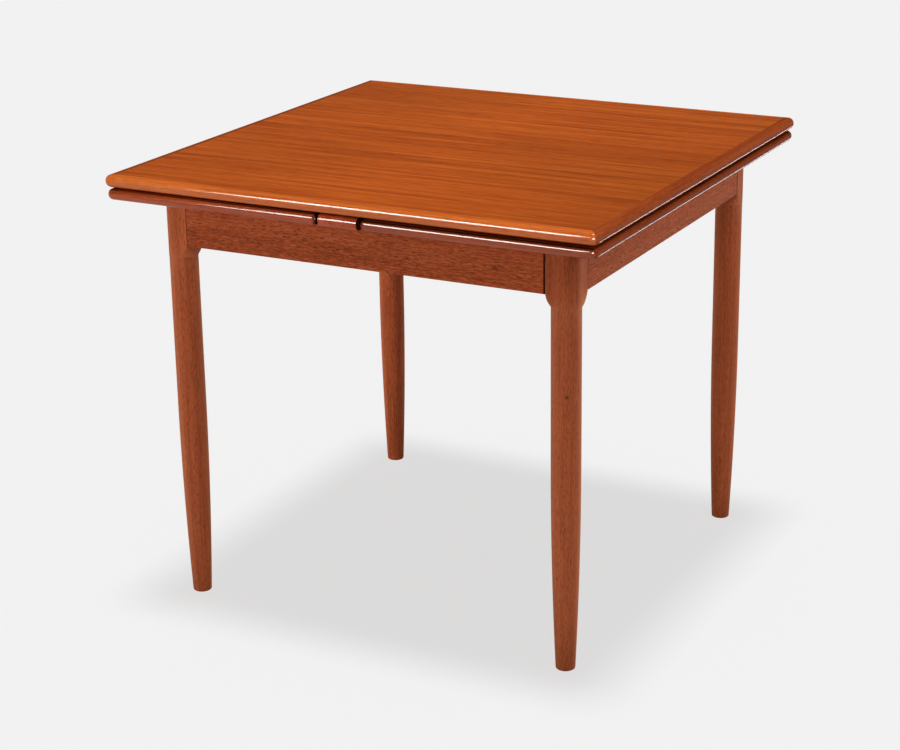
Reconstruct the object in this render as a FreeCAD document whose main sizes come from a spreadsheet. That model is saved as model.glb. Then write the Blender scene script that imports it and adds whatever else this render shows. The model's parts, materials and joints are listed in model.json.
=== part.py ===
"""Draw-leaf table: a loose square top over two leaves on tapered bearers, aprons and turned legs.

Sizes are millimetres. The origin lies on the floor under the middle of the table, +X is the way the right
leaf is drawn, the front looks towards -Y and +Z is up.
"""
import FreeCAD, Part
import math
import os
import re

import Sketcher
from FreeCAD import Placement, Rotation, Vector

SIZES = {
    # Whole table
    "table_height": 730,
    "top_length": 850,
    "top_depth": 850,
    # Loose top and its felt strips
    "top_thickness": 20,
    "top_lipping_width": 16,
    "felt_thickness": 2.5,
    "felt_width": 6,
    "felt_edge_distance": 15,
    "felt_end_distance": 125,
    # Leaves and the half-round edges of all boards
    "leaf_thickness": 18,
    "leaf_lipping_width": 14,
    "leaf_inset": 2.5,
    "leaf_seam": 2,
    "leaf_clearance": 0.5,
    "drawn_gap": 0.5,
    "bullnose_flat": 0.4,
    "corner_softening": 1.7,
    # Fixed board between the leaves
    "centre_board_width": 66,
    "centre_board_reach": 1,
    "centre_board_gap": 1.5,
    "board_screw_margin": 42,
    "board_screw_length": 40,
    # Aprons and their tenons
    "side_overhang": 63,
    "front_overhang": 63,
    "apron_height": 78,
    "apron_thickness": 20,
    "apron_chamfer": 1,
    "tenon_length": 20,
    "tenon_height": 50,
    "tenon_thickness": 8,
    "housing_depth": 10,
    # Legs
    "leg_width": 47,
    "shoulder_height": 22,
    "shoulder_bulge": 1.1,
    "head_spare": 0.4,
    "turning_inset": 0.25,
    "leg_taper_height": 340,
    "foot_diameter": 31,
    "foot_rounding": 2.5,
    # Corner blocks
    "block_reach": 47,
    "block_height": 50,
    "block_drop": 15,
    "block_screw_place": 24,
    "block_screw_seat": 12,
    "block_screw_length": 26,
    # Centre rail and keeper battens
    "rail_thickness": 22,
    "rail_height": 72,
    "keeper_width": 32,
    "keeper_thickness": 11,
    "keeper_sink": 0.5,
    "keeper_screw_length": 25,
    # Bearers
    "bearer_width": 22,
    "bearer_margin": 117,
    "bearer_gap": 5,
    "bearer_end_height": 18,
    "bearer_end_inset": 1,
    "bearer_tail_clear": 6,
    "bearer_screw_start": 30,
    "bearer_screw_grip": 12,
    "bearer_screw_length": 24,
    "slide_clearance": 0.4,
    "seat_clearance": 0.2,
    "side_clearance": 0.6,
    "peg_diameter": 8,
    "peg_height": 8,
    "peg_depth": 14,
    "peg_end_wood": 6,
    # Guide dowels of the top
    "dowel_diameter": 16,
    "dowel_spread": 150,
    "dowel_drop": 46,
    "dowel_socket": 10,
    "dowel_clearance": 2,
    # Wood screws
    "screw_diameter": 4,
    "screw_head_diameter": 8,
    "screw_head_height": 3,
    "counterbore_diameter": 9.5,
}

DERIVED = {
    "half_length": "top_length / 2",
    "half_depth": "top_depth / 2",
    # Levels, from the top down
    "top_under": "table_height - top_thickness",
    "leaf_top": "top_under - felt_thickness",
    "leaf_under": "leaf_top - leaf_thickness",
    "apron_top": "leaf_under - leaf_clearance",
    "apron_bottom": "apron_top - apron_height",
    "tenon_bottom": "apron_top - (apron_height + tenon_height) / 2",
    "tenon_setback": "(apron_thickness - tenon_thickness) / 2",
    # Half-round edges and the plan corners that carry them
    "top_bullnose": "(top_thickness - bullnose_flat) / 2",
    "top_corner": "top_bullnose + corner_softening",
    "leaf_bullnose": "(leaf_thickness - bullnose_flat) / 2",
    "leaf_corner": "leaf_bullnose + corner_softening",
    # Leaves and centre board in plan
    "leaf_inner": "centre_board_width / 2 + leaf_seam",
    "leaf_outer": "half_length - leaf_inset",
    "leaf_half_length": "(leaf_outer - leaf_inner) / 2",
    "leaf_middle": "(leaf_outer + leaf_inner) / 2",
    "leaf_half_depth": "half_depth - leaf_inset",
    "board_half_depth": "leaf_half_depth + centre_board_reach",
    "board_thickness": "top_under - apron_top - centre_board_gap",
    "board_top": "apron_top + board_thickness",
    "felt_outer": "half_length - felt_edge_distance",
    "felt_half_length": "half_depth - felt_end_distance",
    # Frame in plan
    "frame_half_length": "half_length - side_overhang",
    "frame_half_depth": "half_depth - front_overhang",
    "side_inner": "frame_half_length - apron_thickness",
    "front_inner": "frame_half_depth - apron_thickness",
    "front_half_run": "frame_half_length - leg_width",
    "side_half_run": "frame_half_depth - leg_width",
    # Legs
    "leg_radius": "leg_width / 2",
    "turned_radius": "leg_radius - turning_inset",
    "foot_radius": "foot_diameter / 2",
    "leg_x": "frame_half_length - leg_radius",
    "leg_y": "frame_half_depth - leg_radius",
    "taper_rise": "leg_taper_height - foot_rounding",
    "taper_in": "turned_radius - foot_radius",
    "taper_radius": "(taper_rise ^ 2 + taper_in ^ 2) / (2 * taper_in)",
    "head_reach": "leg_radius * sqrt(2) + head_spare",
    "shoulder_bottom": "apron_bottom - shoulder_height",
    "shoulder_out": "head_reach - turned_radius",
    "shoulder_radius": "(shoulder_height ^ 2 + shoulder_out ^ 2) / (8 * shoulder_bulge) + shoulder_bulge / 2",
    "block_top": "apron_top - block_drop",
    # Climb of a leaf on its bearers: level with the top when it is fully drawn
    "leaf_travel": "half_length + drawn_gap - leaf_inner",
    "slope": "(top_thickness + felt_thickness) / leaf_travel",
    "bearer_tail": "bearer_tail_clear - side_inner",
    "peg_x": "bearer_tail + peg_end_wood + peg_diameter / 2",
    "keeper_offset": "peg_x + peg_diameter / 2 + leaf_travel",
    "keeper_outer": "keeper_offset + keeper_width",
    "keeper_under": "apron_top - keeper_sink - keeper_thickness",
    "rail_bottom": "apron_top - rail_height",
    "housing_end": "front_inner + housing_depth",
    "board_screw_spread": "front_inner - board_screw_margin",
    "bearer_near": "front_inner - bearer_margin",
    "bearer_far": "bearer_near + bearer_width + bearer_gap",
    "bearer_end": "frame_half_length - bearer_end_inset",
    "bearer_foot": "leaf_under - bearer_end_height",
    "bearer_step": "keeper_outer + leaf_seam",
    "tail_height": "keeper_under - slide_clearance - bearer_foot + slope * (bearer_end - keeper_outer)",
    "dowel_bottom": "top_under - dowel_drop",
}

QUARTER_TURNS = {"front": 0, "right": 90, "back": 180, "left": 270}
# Each corner's turn and the signs of its place, from the front right corner round the table
CORNER_TURNS = {"front_right": 0, "back_right": 90, "back_left": 180, "front_left": 270}
CORNER_SIGNS = {
    "front_right": ("", "-"),
    "back_right": ("", ""),
    "back_left": ("-", ""),
    "front_left": ("-", "-"),
}
# The left leaf is the right leaf turned half round, so its front bearer is the far one
LEAF_TURNS = {"right": 0, "left": 180}
BEARERS = {
    "right": {"front": "-bearer_near", "back": "bearer_far"},
    "left": {"back": "-bearer_near", "front": "bearer_far"},
}
BEARER_SCREW_COUNT = 3
UP = Vector(0, 0, 1)
FIRST_VERTEX, LAST_VERTEX, CENTRE_VERTEX = range(1, 4)
TOLERANCE = 1e-6

doc = FreeCAD.newDocument("DrawLeafTable")
sheet = doc.addObject("Spreadsheet::Sheet", "Sizes")
nodes = []


def fill_sheet():
    """Write the driving sizes as numbers and the derived ones as formulas, each with its alias."""
    entries = {alias: str(number) for alias, number in SIZES.items()}
    entries.update({alias: "=" + formula for alias, formula in DERIVED.items()})
    for row, (alias, content) in enumerate(entries.items(), start=1):
        sheet.set(f"A{row}", alias)
        sheet.set(f"B{row}", content)
        sheet.setAlias(f"B{row}", alias)
    doc.recompute()


def tie(formula):
    """Turn a formula of size names into an expression on the sheet."""
    def on_sheet(match):
        word = match.group()
        return f"Sizes.{word}" if word in SIZES or word in DERIVED else word
    return re.sub(r"[a-z_]+", on_sheet, str(formula))


def value(formula):
    """Return what a formula of size names comes to now."""
    return float(sheet.evalExpression(tie(formula)))


def bind(item, settings):
    """Tie properties of an object to formulas of the sheet."""
    for prop, formula in settings.items():
        item.setExpression(prop, tie(formula))


def place(item, base, rotation=None):
    """Put an object at a corner given by three formulas, with a fixed turn."""
    item.Placement = Placement(Vector(), rotation or Rotation())
    bind(item, {f"Placement.Base.{axis}": formula for axis, formula in zip("xyz", base)})


def turn(item, degrees):
    """Turn an object about the table's upright middle line."""
    item.Placement = Placement(Vector(), Rotation(UP, degrees))


def place_at_corner(item, corner):
    """Put an object that is drawn round a leg's axis at one corner of the frame."""
    sign_x, sign_y = CORNER_SIGNS[corner]
    place(item, (sign_x + "leg_x", sign_y + "leg_y", "0"), Rotation(UP, CORNER_TURNS[corner]))


def turned(x, y, degrees):
    """Return the formulas of a plan point turned by quarter turns."""
    return {0: (x, y), 90: (f"-({y})", x), 180: (f"-({x})", f"-({y})"), 270: (y, f"-({x})")}[degrees]


def finish(item, label):
    """Name a finished sub-part and keep it for export."""
    item.Label = label
    nodes.append(item)
    return item


def new_sketch(body, name, plane, offset):
    """Attach a sketch to an origin plane of its body, moved along the plane's normal."""
    sketch = body.newObject("Sketcher::SketchObject", name)
    support = next(item for item in body.Origin.OriginFeatures if item.Role == plane)
    sketch.AttachmentSupport = [(support, "")]
    sketch.MapMode = "FlatFace"
    bind(sketch, {"AttachmentOffset.Base.z": offset})
    return sketch


def left_arc(start, end, radius):
    """Return the short arc from start to end that turns left round its centre."""
    chord = end - start
    left = Vector(-chord.y, chord.x, 0).normalize()
    reach = math.sqrt(max(radius ** 2 - (chord.Length / 2) ** 2, 0))
    centre = start + chord / 2 + left * reach
    angles = [math.atan2(point.y - centre.y, point.x - centre.x) for point in (start, end)]
    return Part.ArcOfCircle(Part.Circle(centre, UP, radius), *angles)


def draw_outline(sketch, corners, arcs=None):
    """Draw a closed outline, anticlockwise, through corners given as pairs of formulas.

    arcs gives the radius of each side that is an arc, by the number of the corner it starts from.
    """
    arcs = arcs or {}
    points = [Vector(value(x), value(y), 0) for x, y in corners]
    sides = []
    for number, start in enumerate(points):
        end = points[(number + 1) % len(points)]
        edge = left_arc(start, end, value(arcs[number])) if number in arcs else Part.LineSegment(start, end)
        sides.append(sketch.addGeometry(edge, False))
    for number, side in enumerate(sides):
        following = sides[(number + 1) % len(sides)]
        sketch.addConstraint(Sketcher.Constraint("Coincident", side, LAST_VERTEX, following, FIRST_VERTEX))
        for kind, formula in zip(("DistanceX", "DistanceY"), corners[number]):
            limit = Sketcher.Constraint(kind, -1, FIRST_VERTEX, side, FIRST_VERTEX, value(formula))
            bind(sketch, {f"Constraints[{sketch.addConstraint(limit)}]": formula})
        if number in arcs:
            limit = Sketcher.Constraint("Radius", side, value(arcs[number]))
            bind(sketch, {f"Constraints[{sketch.addConstraint(limit)}]": arcs[number]})


def rectangle(low_x, low_y, high_x, high_y):
    """Return the corners of an upright rectangle."""
    return [(low_x, low_y), (high_x, low_y), (high_x, high_y), (low_x, high_y)]


def pad(body, sketch, length):
    """Raise a sketch along its normal."""
    feature = body.newObject("PartDesign::Pad", "Pad")
    feature.Profile = sketch
    bind(feature, {"Length": length})
    return feature


def pocket(body, sketch, depth, along_normal=False):
    """Cut a sketch into its body, against its normal unless told otherwise, and see that it cuts."""
    doc.recompute()
    before = body.Shape.Volume
    feature = body.newObject("PartDesign::Pocket", "Pocket")
    feature.Profile = sketch
    feature.Reversed = along_normal
    bind(feature, {"Length": depth})
    doc.recompute()
    if body.Shape.Volume > before - TOLERANCE:
        raise ValueError(f"{sketch.Name} cuts nothing from {body.Name}")
    return feature


def add_box(name, low, size):
    """Add a box by its low corner and its size, both as formulas."""
    box = doc.addObject("Part::Box", name)
    bind(box, dict(zip(("Length", "Width", "Height"), size)))
    place(box, low)
    return box


def add_cylinder(name, diameter, height, base, rotation=None):
    """Add a cylinder that rises from its base along the turned Z axis."""
    cylinder = doc.addObject("Part::Cylinder", name)
    bind(cylinder, {"Radius": f"{diameter} / 2", "Height": height})
    place(cylinder, base, rotation)
    return cylinder


def add_group(name, members):
    """Hold several separate solids as one object."""
    group = doc.addObject("Part::Compound", name)
    group.Links = members
    return group


def add_cut(name, base, tools):
    """Cut one object, or a group of separate ones, out of another."""
    cut = doc.addObject("Part::Cut", name)
    cut.Base = base
    cut.Tool = tools
    return cut


def add_screw(name, length, head, rotation=None):
    """Add a countersunk wood screw: its flat head at a point, its tip down the turned Z axis."""
    rotation = rotation or Rotation()
    cone = doc.addObject("Part::Cone", name + "_head")
    bind(cone, {"Radius1": "screw_diameter / 2", "Radius2": "screw_head_diameter / 2"})
    bind(cone, {"Height": "screw_head_height"})
    place(cone, ("0", "0", "-screw_head_height"))
    reach = f"{length} - screw_head_height"
    shank = add_cylinder(name + "_shank", "screw_diameter", reach, ("0", "0", f"-{length}"))
    screw = doc.addObject("Part::Fuse", name)
    screw.Base = cone
    screw.Tool = shank
    place(screw, head, rotation)
    return screw


def bearer_line(x):
    """Return the height of a bearer's sloping underside at a place along the table."""
    return f"(bearer_foot - slope * (bearer_end - ({x})))"


def tail_line(x):
    """Return the height of the top of a bearer's tail, which is parallel to its underside."""
    return f"({bearer_line(x)} + tail_height)"


def make_lipping(label, half_run, edge, sizes, base, degrees):
    """Make one mitred lipping with a half-round outer edge and softened plan corners.

    half_run is half the length of its board's edge, edge the distance of that edge from the board's middle,
    and sizes the names of the board's thickness, lipping width, edge radius and corner radius.
    """
    thickness, width, bullnose, corner = sizes
    mitre = f"{corner} * (1 - sqrt(0.5))"
    body = doc.addObject("PartDesign::Body", label)
    sketch = new_sketch(body, label + "_plan", "XY_Plane", "0")
    draw_outline(sketch, [
        (f"{corner} - {half_run}", f"-{edge}"),
        (f"{half_run} - {corner}", f"-{edge}"),
        (f"{half_run} - {mitre}", f"{mitre} - {edge}"),
        (f"{half_run} - {width}", f"{width} - {edge}"),
        (f"{width} - {half_run}", f"{width} - {edge}"),
        (f"{mitre} - {half_run}", f"{mitre} - {edge}"),
    ], {1: corner, 5: corner})
    blank = pad(body, sketch, thickness)
    doc.recompute()
    outer = []
    for number, side in enumerate(blank.Shape.Edges, start=1):
        level = side.BoundBox.ZLength < TOLERANCE
        on_edge = abs(side.BoundBox.YMin + value(edge)) < TOLERANCE and side.BoundBox.YLength < TOLERANCE
        if level and (on_edge or isinstance(side.Curve, Part.Circle)):
            outer.append(f"Edge{number}")
    rounding = body.newObject("PartDesign::Fillet", "Bullnose")
    rounding.Base = (blank, outer)
    bind(rounding, {"Radius": bullnose})
    place(body, base, Rotation(UP, degrees))
    return finish(body, label)


def make_top(dowels):
    """Make the loose top: panel with dowel sockets, and four lippings."""
    panel = add_box(
        "top_panel_blank",
        ("top_lipping_width - half_length", "top_lipping_width - half_depth", "top_under"),
        ("top_length - 2 * top_lipping_width", "top_depth - 2 * top_lipping_width", "top_thickness"),
    )
    finish(add_cut("top_panel", panel, dowels), "top_panel")
    sizes = ("top_thickness", "top_lipping_width", "top_bullnose", "top_corner")
    for side, degrees in QUARTER_TURNS.items():
        along_x = side in ("front", "back")
        run, edge = ("half_length", "half_depth") if along_x else ("half_depth", "half_length")
        make_lipping(f"top_{side}_lipping", run, edge, sizes, ("0", "0", "top_under"), degrees)


def make_dowels():
    """Make the two dowels that keep the loose top in place."""
    dowels = [
        add_cylinder(f"dowel_{side}", "dowel_diameter", "dowel_drop + dowel_socket", ("0", y, "dowel_bottom"))
        for side, y in (("front", "-dowel_spread"), ("back", "dowel_spread"))
    ]
    return finish(add_group("top_guide_dowels", dowels), "top_guide_dowels")


def make_felt_strips():
    """Make the two felt strips that the top rests on the leaves with."""
    for side, x in (("left", "-felt_outer"), ("right", "felt_outer - felt_width")):
        label = f"{side}_felt_strip"
        size = ("felt_width", "2 * felt_half_length", "felt_thickness")
        finish(add_box(label, (x, "-felt_half_length", "leaf_top"), size), label)


def make_bearer(label, y, tools):
    """Make one bearer: its top flat under the leaf, its underside sloping, its tail lower than the keeper."""
    body = doc.addObject("PartDesign::Body", label + "_blank")
    sketch = new_sketch(body, label + "_side", "XZ_Plane", f"-({y}) - bearer_width / 2")
    draw_outline(sketch, [
        ("bearer_tail", bearer_line("bearer_tail")),
        ("bearer_end", bearer_line("bearer_end")),
        ("bearer_end", "leaf_under"),
        ("bearer_step", "leaf_under"),
        ("bearer_step", tail_line("bearer_step")),
        ("bearer_tail", tail_line("bearer_tail")),
    ])
    pad(body, sketch, "bearer_width")
    return add_cut(label, body, tools)


def make_leaf(side):
    """Make one leaf: panel, lippings, two bearers, their screws and the pegs that stop the draw."""
    degrees = LEAF_TURNS[side]
    upside_down = Rotation(Vector(1, 0, 0), 180)
    run = "bearer_end - bearer_step - 2 * bearer_screw_start"
    screws = []
    bores = []
    pegs = []
    for place_name, y in BEARERS[side].items():
        for number in range(BEARER_SCREW_COUNT):
            share = f"{number} / {BEARER_SCREW_COUNT - 1}"
            x = f"bearer_step + bearer_screw_start + ({run}) * {share}"
            head = "leaf_under - bearer_screw_grip"
            name = f"{side}_{place_name}_screw_{number}"
            screws.append(add_screw(name, "bearer_screw_length", (x, y, head), upside_down))
            bores.append(add_cylinder(
                name + "_bore", "counterbore_diameter", f"{head} - {bearer_line('bearer_tail')}",
                (x, y, bearer_line("bearer_tail")),
            ))
        pegs.append(add_cylinder(
            f"{side}_{place_name}_peg", "peg_diameter", "peg_depth + peg_height",
            ("peg_x", y, f"{tail_line('peg_x')} - peg_depth"),
        ))
    screw_group = add_group(f"{side}_leaf_bearer_screws", screws)
    peg_group = add_group(f"{side}_leaf_stop_pegs", pegs)
    tools = add_group(f"{side}_bearer_tools", screws + bores + pegs)

    panel = add_box(
        f"{side}_leaf_panel_blank",
        ("leaf_inner + leaf_lipping_width", "leaf_lipping_width - leaf_half_depth", "leaf_under"),
        ("2 * (leaf_half_length - leaf_lipping_width)", "2 * (leaf_half_depth - leaf_lipping_width)",
         "leaf_thickness"),
    )
    pieces = {f"{side}_leaf_panel": add_cut(f"{side}_leaf_panel", panel, tools)}
    for place_name, y in BEARERS[side].items():
        label = f"{side}_leaf_{place_name}_bearer"
        pieces[label] = make_bearer(label, y, tools)
    pieces[f"{side}_leaf_bearer_screws"] = screw_group
    pieces[f"{side}_leaf_stop_pegs"] = peg_group
    for label, item in pieces.items():
        turn(finish(item, label), degrees)

    sizes = ("leaf_thickness", "leaf_lipping_width", "leaf_bullnose", "leaf_corner")
    middle = "leaf_middle" if side == "right" else "-leaf_middle"
    turns = {"front": 0, "outer": 90 + degrees, "back": 180, "inner": 270 + degrees}
    for edge_name, edge_turn in turns.items():
        run, edge = ("leaf_half_length", "leaf_half_depth")
        if edge_name in ("outer", "inner"):
            run, edge = edge, run
        label = f"{side}_leaf_{edge_name}_lipping"
        make_lipping(label, run, edge, sizes, (middle, "0", "leaf_under"), edge_turn)


def make_bearer_paths(side):
    """Return the channels that one leaf's bearers run in, to cut the apron and the rail with."""
    channels = []
    for place_name, y in BEARERS[side].items():
        name = f"{side}_{place_name}_path"
        body = doc.addObject("PartDesign::Body", name)
        sketch = new_sketch(body, name + "_side", "XZ_Plane", f"-({y}) - bearer_width / 2 - side_clearance")
        draw_outline(sketch, [
            ("bearer_tail", f"{bearer_line('bearer_tail')} - seat_clearance"),
            ("half_length", f"{bearer_line('half_length')} - seat_clearance"),
            ("half_length", "top_under"),
            ("bearer_tail", "top_under"),
        ])
        pad(body, sketch, "bearer_width + 2 * side_clearance")
        channels.append(body)
    group = add_group(f"{side}_bearer_paths", channels)
    turn(group, LEAF_TURNS[side])
    return group


def make_leg(corner):
    """Make one leg: turned foot and shoulder, a square head with one round corner, and two mortises."""
    label = f"{corner}_leg"
    body = doc.addObject("PartDesign::Body", label)
    profile = new_sketch(body, label + "_profile", "XZ_Plane", "0")
    draw_outline(profile, [
        ("0", "0"),
        ("foot_radius - foot_rounding", "0"),
        ("foot_radius", "foot_rounding"),
        ("turned_radius", "leg_taper_height"),
        ("turned_radius", "shoulder_bottom"),
        ("head_reach", "apron_bottom"),
        ("head_reach", "apron_top"),
        ("0", "apron_top"),
    ], {1: "foot_rounding", 2: "taper_radius", 4: "shoulder_radius"})
    turning = body.newObject("PartDesign::Revolution", "Turning")
    turning.Profile = profile
    turning.ReferenceAxis = (profile, ["V_Axis"])
    turning.Angle = 360

    flats = new_sketch(body, label + "_flats", "XY_Plane", "apron_top")
    draw_outline(flats, rectangle("-leg_width", "-leg_width", "leg_width", "leg_width"))
    draw_outline(flats, [
        ("-leg_radius", "-leg_radius"),
        ("0", "-leg_radius"),
        ("leg_radius", "0"),
        ("leg_radius", "leg_radius"),
        ("-leg_radius", "leg_radius"),
    ], {1: "leg_radius"})
    pocket(body, flats, "apron_height + shoulder_height")

    mortises = new_sketch(body, label + "_mortises", "XY_Plane", "tenon_bottom + tenon_height")
    near = "tenon_setback - leg_radius"
    far = f"{near} + tenon_thickness"
    draw_outline(mortises, rectangle("-leg_width", near, "tenon_length - leg_radius", far))
    draw_outline(mortises, rectangle(f"-({far})", "leg_radius - tenon_length", f"-({near})", "leg_width"))
    pocket(body, mortises, "tenon_height")
    place_at_corner(body, corner)
    return finish(body, label)


def make_apron(side, tools):
    """Make one apron with its tenons; the front and back ones hold the rail and the keepers in housings."""
    label = f"{side}_apron"
    carries_rail = side in ("front", "back")
    half_run, inner = ("front_half_run", "front_inner") if carries_rail else ("side_half_run", "side_inner")
    outer = f"{inner} + apron_thickness"
    body = doc.addObject("PartDesign::Body", label + "_blank")
    plan = new_sketch(body, label + "_plan", "XY_Plane", "apron_bottom")
    draw_outline(plan, [
        (f"apron_chamfer - {half_run}", f"-({outer})"),
        (f"{half_run} - apron_chamfer", f"-({outer})"),
        (half_run, f"apron_chamfer - ({outer})"),
        (half_run, f"-{inner}"),
        (f"-{half_run}", f"-{inner}"),
        (f"-{half_run}", f"apron_chamfer - ({outer})"),
    ])
    pad(body, plan, "apron_height")
    tenons = new_sketch(body, label + "_tenons", "XY_Plane", "tenon_bottom")
    draw_outline(tenons, rectangle(
        f"-({half_run} + tenon_length)", f"tenon_setback - ({outer})",
        f"{half_run} + tenon_length", f"tenon_setback + tenon_thickness - ({outer})",
    ))
    pad(body, tenons, "tenon_height")
    if carries_rail:
        housings = new_sketch(body, label + "_housings", "XZ_Plane", inner)
        for left, right, floor in (
            ("-rail_thickness / 2", "rail_thickness / 2", "rail_bottom"),
            ("keeper_offset", "keeper_outer", "keeper_under"),
            ("-keeper_outer", "-keeper_offset", "keeper_under"),
        ):
            draw_outline(housings, rectangle(left, floor, right, "leaf_top"))
        pocket(body, housings, "housing_depth", along_normal=True)
    turn(body, QUARTER_TURNS[side])
    return finish(add_cut(label, body, add_group(label + "_tools", tools)), label)


def make_corner_block_screws():
    """Make the screws that hold the corner blocks to the aprons, two at each corner."""
    screws = []
    block_foot = "apron_thickness - leg_radius"
    place_along = "-leg_radius - block_reach + block_screw_place"
    seat = f"{block_foot} + block_screw_seat"
    height = "block_top - block_height / 2"
    into_front = Rotation(Vector(1, 0, 0), -90)
    into_side = Rotation(Vector(0, 1, 0), -90)
    for corner, (sign_x, sign_y) in CORNER_SIGNS.items():
        degrees = CORNER_TURNS[corner]
        around = Rotation(UP, degrees)
        for name, x, y, aim in (
            ("front", place_along, seat, into_front),
            ("side", f"-({seat})", f"-({place_along})", into_side),
        ):
            turned_x, turned_y = turned(x, y, degrees)
            head = (f"{sign_x}leg_x + {turned_x}", f"{sign_y}leg_y + {turned_y}", height)
            screws.append(add_screw(f"{corner}_{name}_block_screw", "block_screw_length", head, around * aim))
    return screws


def make_corner_block(corner, screws):
    """Make one corner block, fitted round the inner corner of the leg and counterbored for its screws."""
    label = f"{corner}_corner_block"
    body = doc.addObject("PartDesign::Body", label + "_blank")
    plan = new_sketch(body, label + "_plan", "XY_Plane", "block_top - block_height")
    foot = "apron_thickness - leg_radius"
    tip = "leg_radius + block_reach"
    draw_outline(plan, [
        (f"-({tip})", foot),
        ("-leg_radius", foot),
        ("-leg_radius", "leg_radius"),
        (f"-({foot})", "leg_radius"),
        (f"-({foot})", tip),
    ])
    pad(body, plan, "block_height")
    bores = new_sketch(body, label + "_bore_front", "XZ_Plane", f"-({foot}) - block_screw_seat")
    height = "block_top - block_height / 2"
    draw_bore(bores, f"block_screw_place - ({tip})", height)
    pocket(body, bores, "block_reach")
    bores = new_sketch(body, label + "_bore_side", "YZ_Plane", f"-({foot}) - block_screw_seat")
    draw_bore(bores, f"{tip} - block_screw_place", height)
    pocket(body, bores, "block_reach")
    place_at_corner(body, corner)
    return finish(add_cut(label, body, screws), label)


def draw_bore(sketch, x, y):
    """Draw a counterbore's circle round a point given by two formulas."""
    circle = Part.Circle(Vector(value(x), value(y), 0), UP, value("counterbore_diameter / 2"))
    ring = sketch.addGeometry(circle, False)
    limits = {
        x: Sketcher.Constraint("DistanceX", -1, FIRST_VERTEX, ring, CENTRE_VERTEX, value(x)),
        y: Sketcher.Constraint("DistanceY", -1, FIRST_VERTEX, ring, CENTRE_VERTEX, value(y)),
        "counterbore_diameter": Sketcher.Constraint("Diameter", ring, value("counterbore_diameter")),
    }
    for formula, limit in limits.items():
        bind(sketch, {f"Constraints[{sketch.addConstraint(limit)}]": formula})


def make_centre(paths):
    """Make the centre board, the notched rail under it, the two keeper battens and their screws."""
    board_screws = add_group("centre_board_screws", [
        add_screw(f"board_screw_{number}", "board_screw_length", ("0", y, "board_top"))
        for number, y in enumerate(("-board_screw_spread", "0", "board_screw_spread"))
    ])
    finish(board_screws, "centre_board_screws")

    body = doc.addObject("PartDesign::Body", "centre_board_blank")
    sketch = new_sketch(body, "centre_board_side", "YZ_Plane", "-centre_board_width / 2")
    radius = "board_thickness / 2"
    straight = f"board_half_depth - {radius}"
    draw_outline(sketch, [
        (f"-({straight})", "apron_top"),
        (straight, "apron_top"),
        ("board_half_depth", f"apron_top + {radius}"),
        (straight, "board_top"),
        (f"-({straight})", "board_top"),
        ("-board_half_depth", f"apron_top + {radius}"),
    ], {1: radius, 2: radius, 4: radius, 5: radius})
    pad(body, sketch, "centre_board_width")
    holes = [
        add_cylinder(f"dowel_hole_{number}", "(dowel_diameter + 2 * dowel_clearance)", "2 * board_thickness",
                     ("0", y, "apron_top - board_thickness / 2"))
        for number, y in enumerate(("-dowel_spread", "dowel_spread"))
    ]
    finish(add_cut("centre_board", body, add_group("board_tools", holes + [board_screws])), "centre_board")

    rail = add_box("centre_rail_blank", ("-rail_thickness / 2", "-housing_end", "rail_bottom"),
                   ("rail_thickness", "2 * housing_end", "rail_height"))
    notch = "(dowel_diameter + 2 * dowel_clearance)"
    floor = "dowel_bottom - dowel_clearance"
    notches = [
        add_box(f"dowel_notch_{number}", ("-rail_thickness", f"{y} - {notch} / 2", floor),
                ("2 * rail_thickness", notch, "dowel_drop"))
        for number, y in enumerate(("-dowel_spread", "dowel_spread"))
    ]
    rail_tools = add_group("rail_tools", notches + paths + [board_screws])
    finish(add_cut("centre_rail", rail, rail_tools), "centre_rail")

    keeper_middle = "(keeper_offset + keeper_width / 2)"
    keeper_top = "keeper_under + keeper_thickness"
    keeper_screws = add_group("keeper_screws", [
        add_screw(f"keeper_screw_{number}", "keeper_screw_length",
                  (sign_x + keeper_middle, sign_y + "(front_inner + housing_depth / 2)", keeper_top))
        for number, (sign_x, sign_y) in enumerate(CORNER_SIGNS.values())
    ])
    finish(keeper_screws, "keeper_screws")
    for side, x in (("left", "-keeper_outer"), ("right", "keeper_offset")):
        keeper = add_box(f"{side}_keeper_blank", (x, "-housing_end", "keeper_under"),
                         ("keeper_width", "2 * housing_end", "keeper_thickness"))
        finish(add_cut(f"{side}_keeper", keeper, keeper_screws), f"{side}_keeper")
    return keeper_screws


def make_frame():
    """Make the legs, aprons, corner blocks and everything that is fixed between the aprons."""
    for corner in CORNER_TURNS:
        make_leg(corner)
    block_screws = add_group("corner_block_screws", make_corner_block_screws())
    finish(block_screws, "corner_block_screws")
    for corner in CORNER_TURNS:
        make_corner_block(corner, block_screws)
    paths = {side: make_bearer_paths(side) for side in LEAF_TURNS}
    keeper_screws = make_centre(list(paths.values()))
    for side in QUARTER_TURNS:
        make_apron(side, [block_screws, paths.get(side, keeper_screws)])


def check_document():
    """Stop if any object failed to build or any sub-part has no valid solid."""
    for item in doc.Objects:
        if {"Invalid", "Error"} & set(item.State):
            raise ValueError(f"{item.Label} failed: {item.State}")
    for node in nodes:
        shape = node.Shape
        if shape.isNull() or not shape.isValid() or not shape.Solids:
            raise ValueError(f"{node.Label} has no valid solid")


def export_parts():
    """Write each sub-part to its own file."""
    os.makedirs("parts", exist_ok=True)
    for node in nodes:
        node.Shape.exportStep(f"parts/{node.Label}.step")
        print(f"{node.Label}: {len(node.Shape.Solids)} solid(s), {node.Shape.Volume / 1000:.1f} cm3")


fill_sheet()
make_top(make_dowels())
make_felt_strips()
for leaf_side in LEAF_TURNS:
    make_leaf(leaf_side)
make_frame()
doc.recompute()
check_document()
export_parts()
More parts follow.
